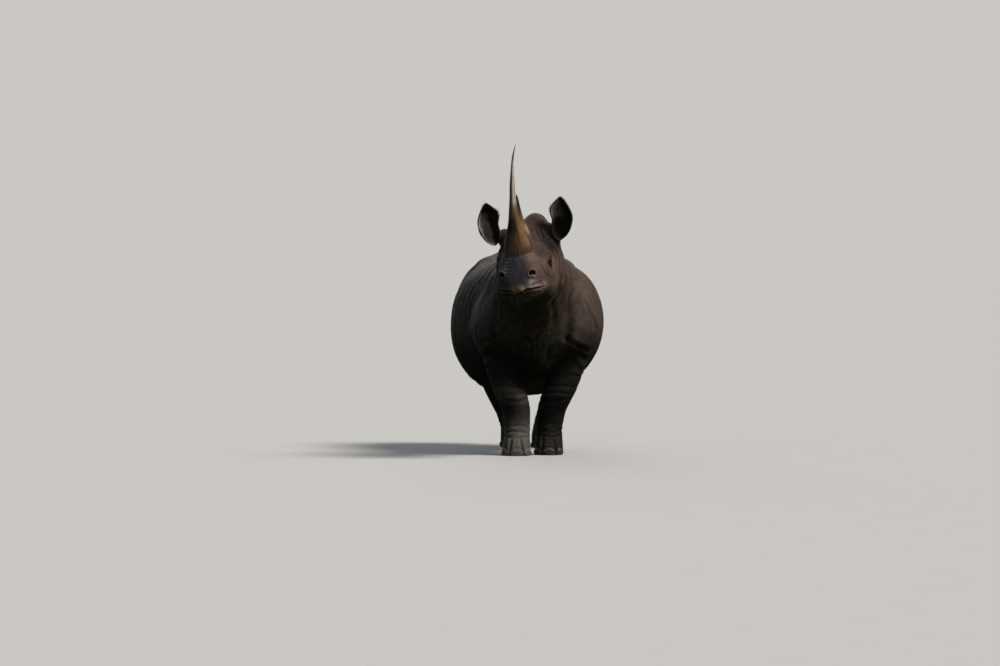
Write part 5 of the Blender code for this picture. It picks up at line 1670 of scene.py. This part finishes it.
# Tail bristles: stiff hairs in two rows, along the front and the back of the tail's flat end.
tailPiece = {"count": 520, "length": 0.125, "thickness": 0.0085, "bend": 0.22, "spread": 0.2}
tailCore = {"voxel": 0.004, "smooth": 10, "thick": 0.62, "long": 0.72, "above": 0.004}
low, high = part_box("tail_tuft")
core = remeshed(fleshCopy(["tail_tuft"]), tailCore["voxel"], tailCore["smooth"])
setPoints(core, pointsOf(core) + np.array(start))
corePoints = pointsOf(core)
hairs = []
dice = np.random.default_rng(63)
for _ in range(tailPiece["count"]):
    share = dice.uniform(0.0, 1.0) ** 0.8
    height = high.z + 0.02 - share * (high.z - low.z - 0.05)
    angle = (math.pi / 2 if dice.random() < 0.5 else -math.pi / 2) + dice.normal(0, 0.8)
    ring = corePoints[np.abs(corePoints[:, 2] - min(height, high.z - 0.008)) < 0.008]
    centre = (ring.min(axis=0) + ring.max(axis=0)) / 2
    radii = (ring.max(axis=0) - ring.min(axis=0)) / 2
    out = Vector((math.cos(angle), math.sin(angle), 0))
    root = Vector((centre[0] + 0.35 * radii[0] * out.x, centre[1] + 0.45 * radii[1] * out.y, height))
    way = (out * tailPiece["spread"] * dice.uniform(0.3, 1.3) + Vector((0, 0, -1))).normalized()
    room = max(height - low.z, 0.03)
    long = min(tailPiece["length"] * dice.uniform(0.75, 1.1), room * 0.98 / 1.2)
    hairs.append((root, way, -out, long, (0.05 + 0.8 * (angle + 3) / 7, 0.05 + 0.85 * share)))
piece = grownHairs("tail_bristles", hairs, tailPiece, segments=7, sides=4, seed=3)
replaced(piece, "bristle", "tail_tuft")
# The tail's fleshy end runs on down between the bristles.
axis = (corePoints.min(axis=0) + corePoints.max(axis=0)) / 2
corePoints[:, :2] = axis[:2] + (corePoints[:, :2] - axis[:2]) * tailCore["thick"]
corePoints[:, 2] = high.z + tailCore["above"] - (high.z - corePoints[:, 2]) * tailCore["long"]
setPoints(core, corePoints)
fleshyEnd = finishedPiece("tail_end", core, bristleMaterial)
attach(fleshyEnd, "root")
print("tail bristles grown")

# Floor, lights and camera.
stage = {
    "floor": (0.62, 0.61, 0.595),
    "bounce": (0.06, 0.065, 0.035),
    "seen": (0.598, 0.58, 0.556),
    "sky": (0.84, 0.9, 1.0),
    "skyPower": 0.155,
    "half": 260.0,
}
corners = [(x * stage["half"], y * stage["half"], 0) for x, y in ((-1, -1), (1, -1), (1, 1), (-1, 1))]
floorMesh = bpy.data.meshes.new("floor")
floorMesh.from_pydata(corners, [], [(0, 1, 2, 3)])
floorMaterial, tree, shader = newMaterial("floor", 0.9, 0.1)
shade = tree.place().noise(3.0, 4.0).ramp(0.3, 0.7, 0.992, 1.008)
colour = tree.mixed(1.0, stage["floor"], shade.grey(), "MULTIPLY")
# Little of the pale floor's light comes back up onto the animal.
isSeen = tree.wire("ShaderNodeLightPath", "Is Camera Ray")
tree.feed(shader, {"Base Color": tree.mixed(isSeen, stage["bounce"], colour)})
floor = finishedPiece("floor", floorMesh, floorMaterial, smooth=False)

world = bpy.data.worlds.new("studio")
bpy.context.scene.world = world
world.use_nodes = True
tree = Tree(world.node_tree)
seen = tree.wire("ShaderNodeBackground", 0, {"Color": stage["seen"], "Strength": 1.0})
lit = tree.wire("ShaderNodeBackground", 0, {"Color": stage["sky"], "Strength": stage["skyPower"]})
isSeen = tree.wire("ShaderNodeLightPath", "Is Camera Ray")
choose = tree.wire("ShaderNodeMixShader", 0, {0: isSeen, 1: lit, 2: seen})
tree.feed(world.node_tree.nodes["World Output"], {"Surface": choose})


def sunLamp(name, power, soft, colour, azimuth, elevation):
    lamp = bpy.data.lights.new(name, "SUN")
    lamp.energy, lamp.angle, lamp.color = power, math.radians(soft), colour
    made = makeObject(name, lamp)
    a, e = math.radians(azimuth), math.radians(elevation)
    towards = Vector((math.sin(a) * math.cos(e), -math.cos(a) * math.cos(e), math.sin(e)))
    made.rotation_euler = towards.to_track_quat("Z", "Y").to_euler()


sunLamp("key", 2.9, 22, (1.0, 0.96, 0.9), 62, 50)
sunLamp("fill", 0.13, 60, (0.85, 0.92, 1.0), -12, 25)
sunLamp("rear", 0.7, 40, (0.95, 0.97, 1.0), 190, 24)

lens = bpy.data.cameras.new("camera")
lens.lens, lens.sensor_width = camera["lens"], camera["sensor"]
lens.clip_start, lens.clip_end = camera["near"], camera["far"]
viewer = makeObject("camera", lens)
viewer.location = Vector(camera["place"]) + start
viewer.rotation_euler = (math.pi / 2 - camera["tilt"], 0, 0)
bpy.context.scene.camera = viewer
bpy.context.scene.view_settings.view_transform = "Standard"
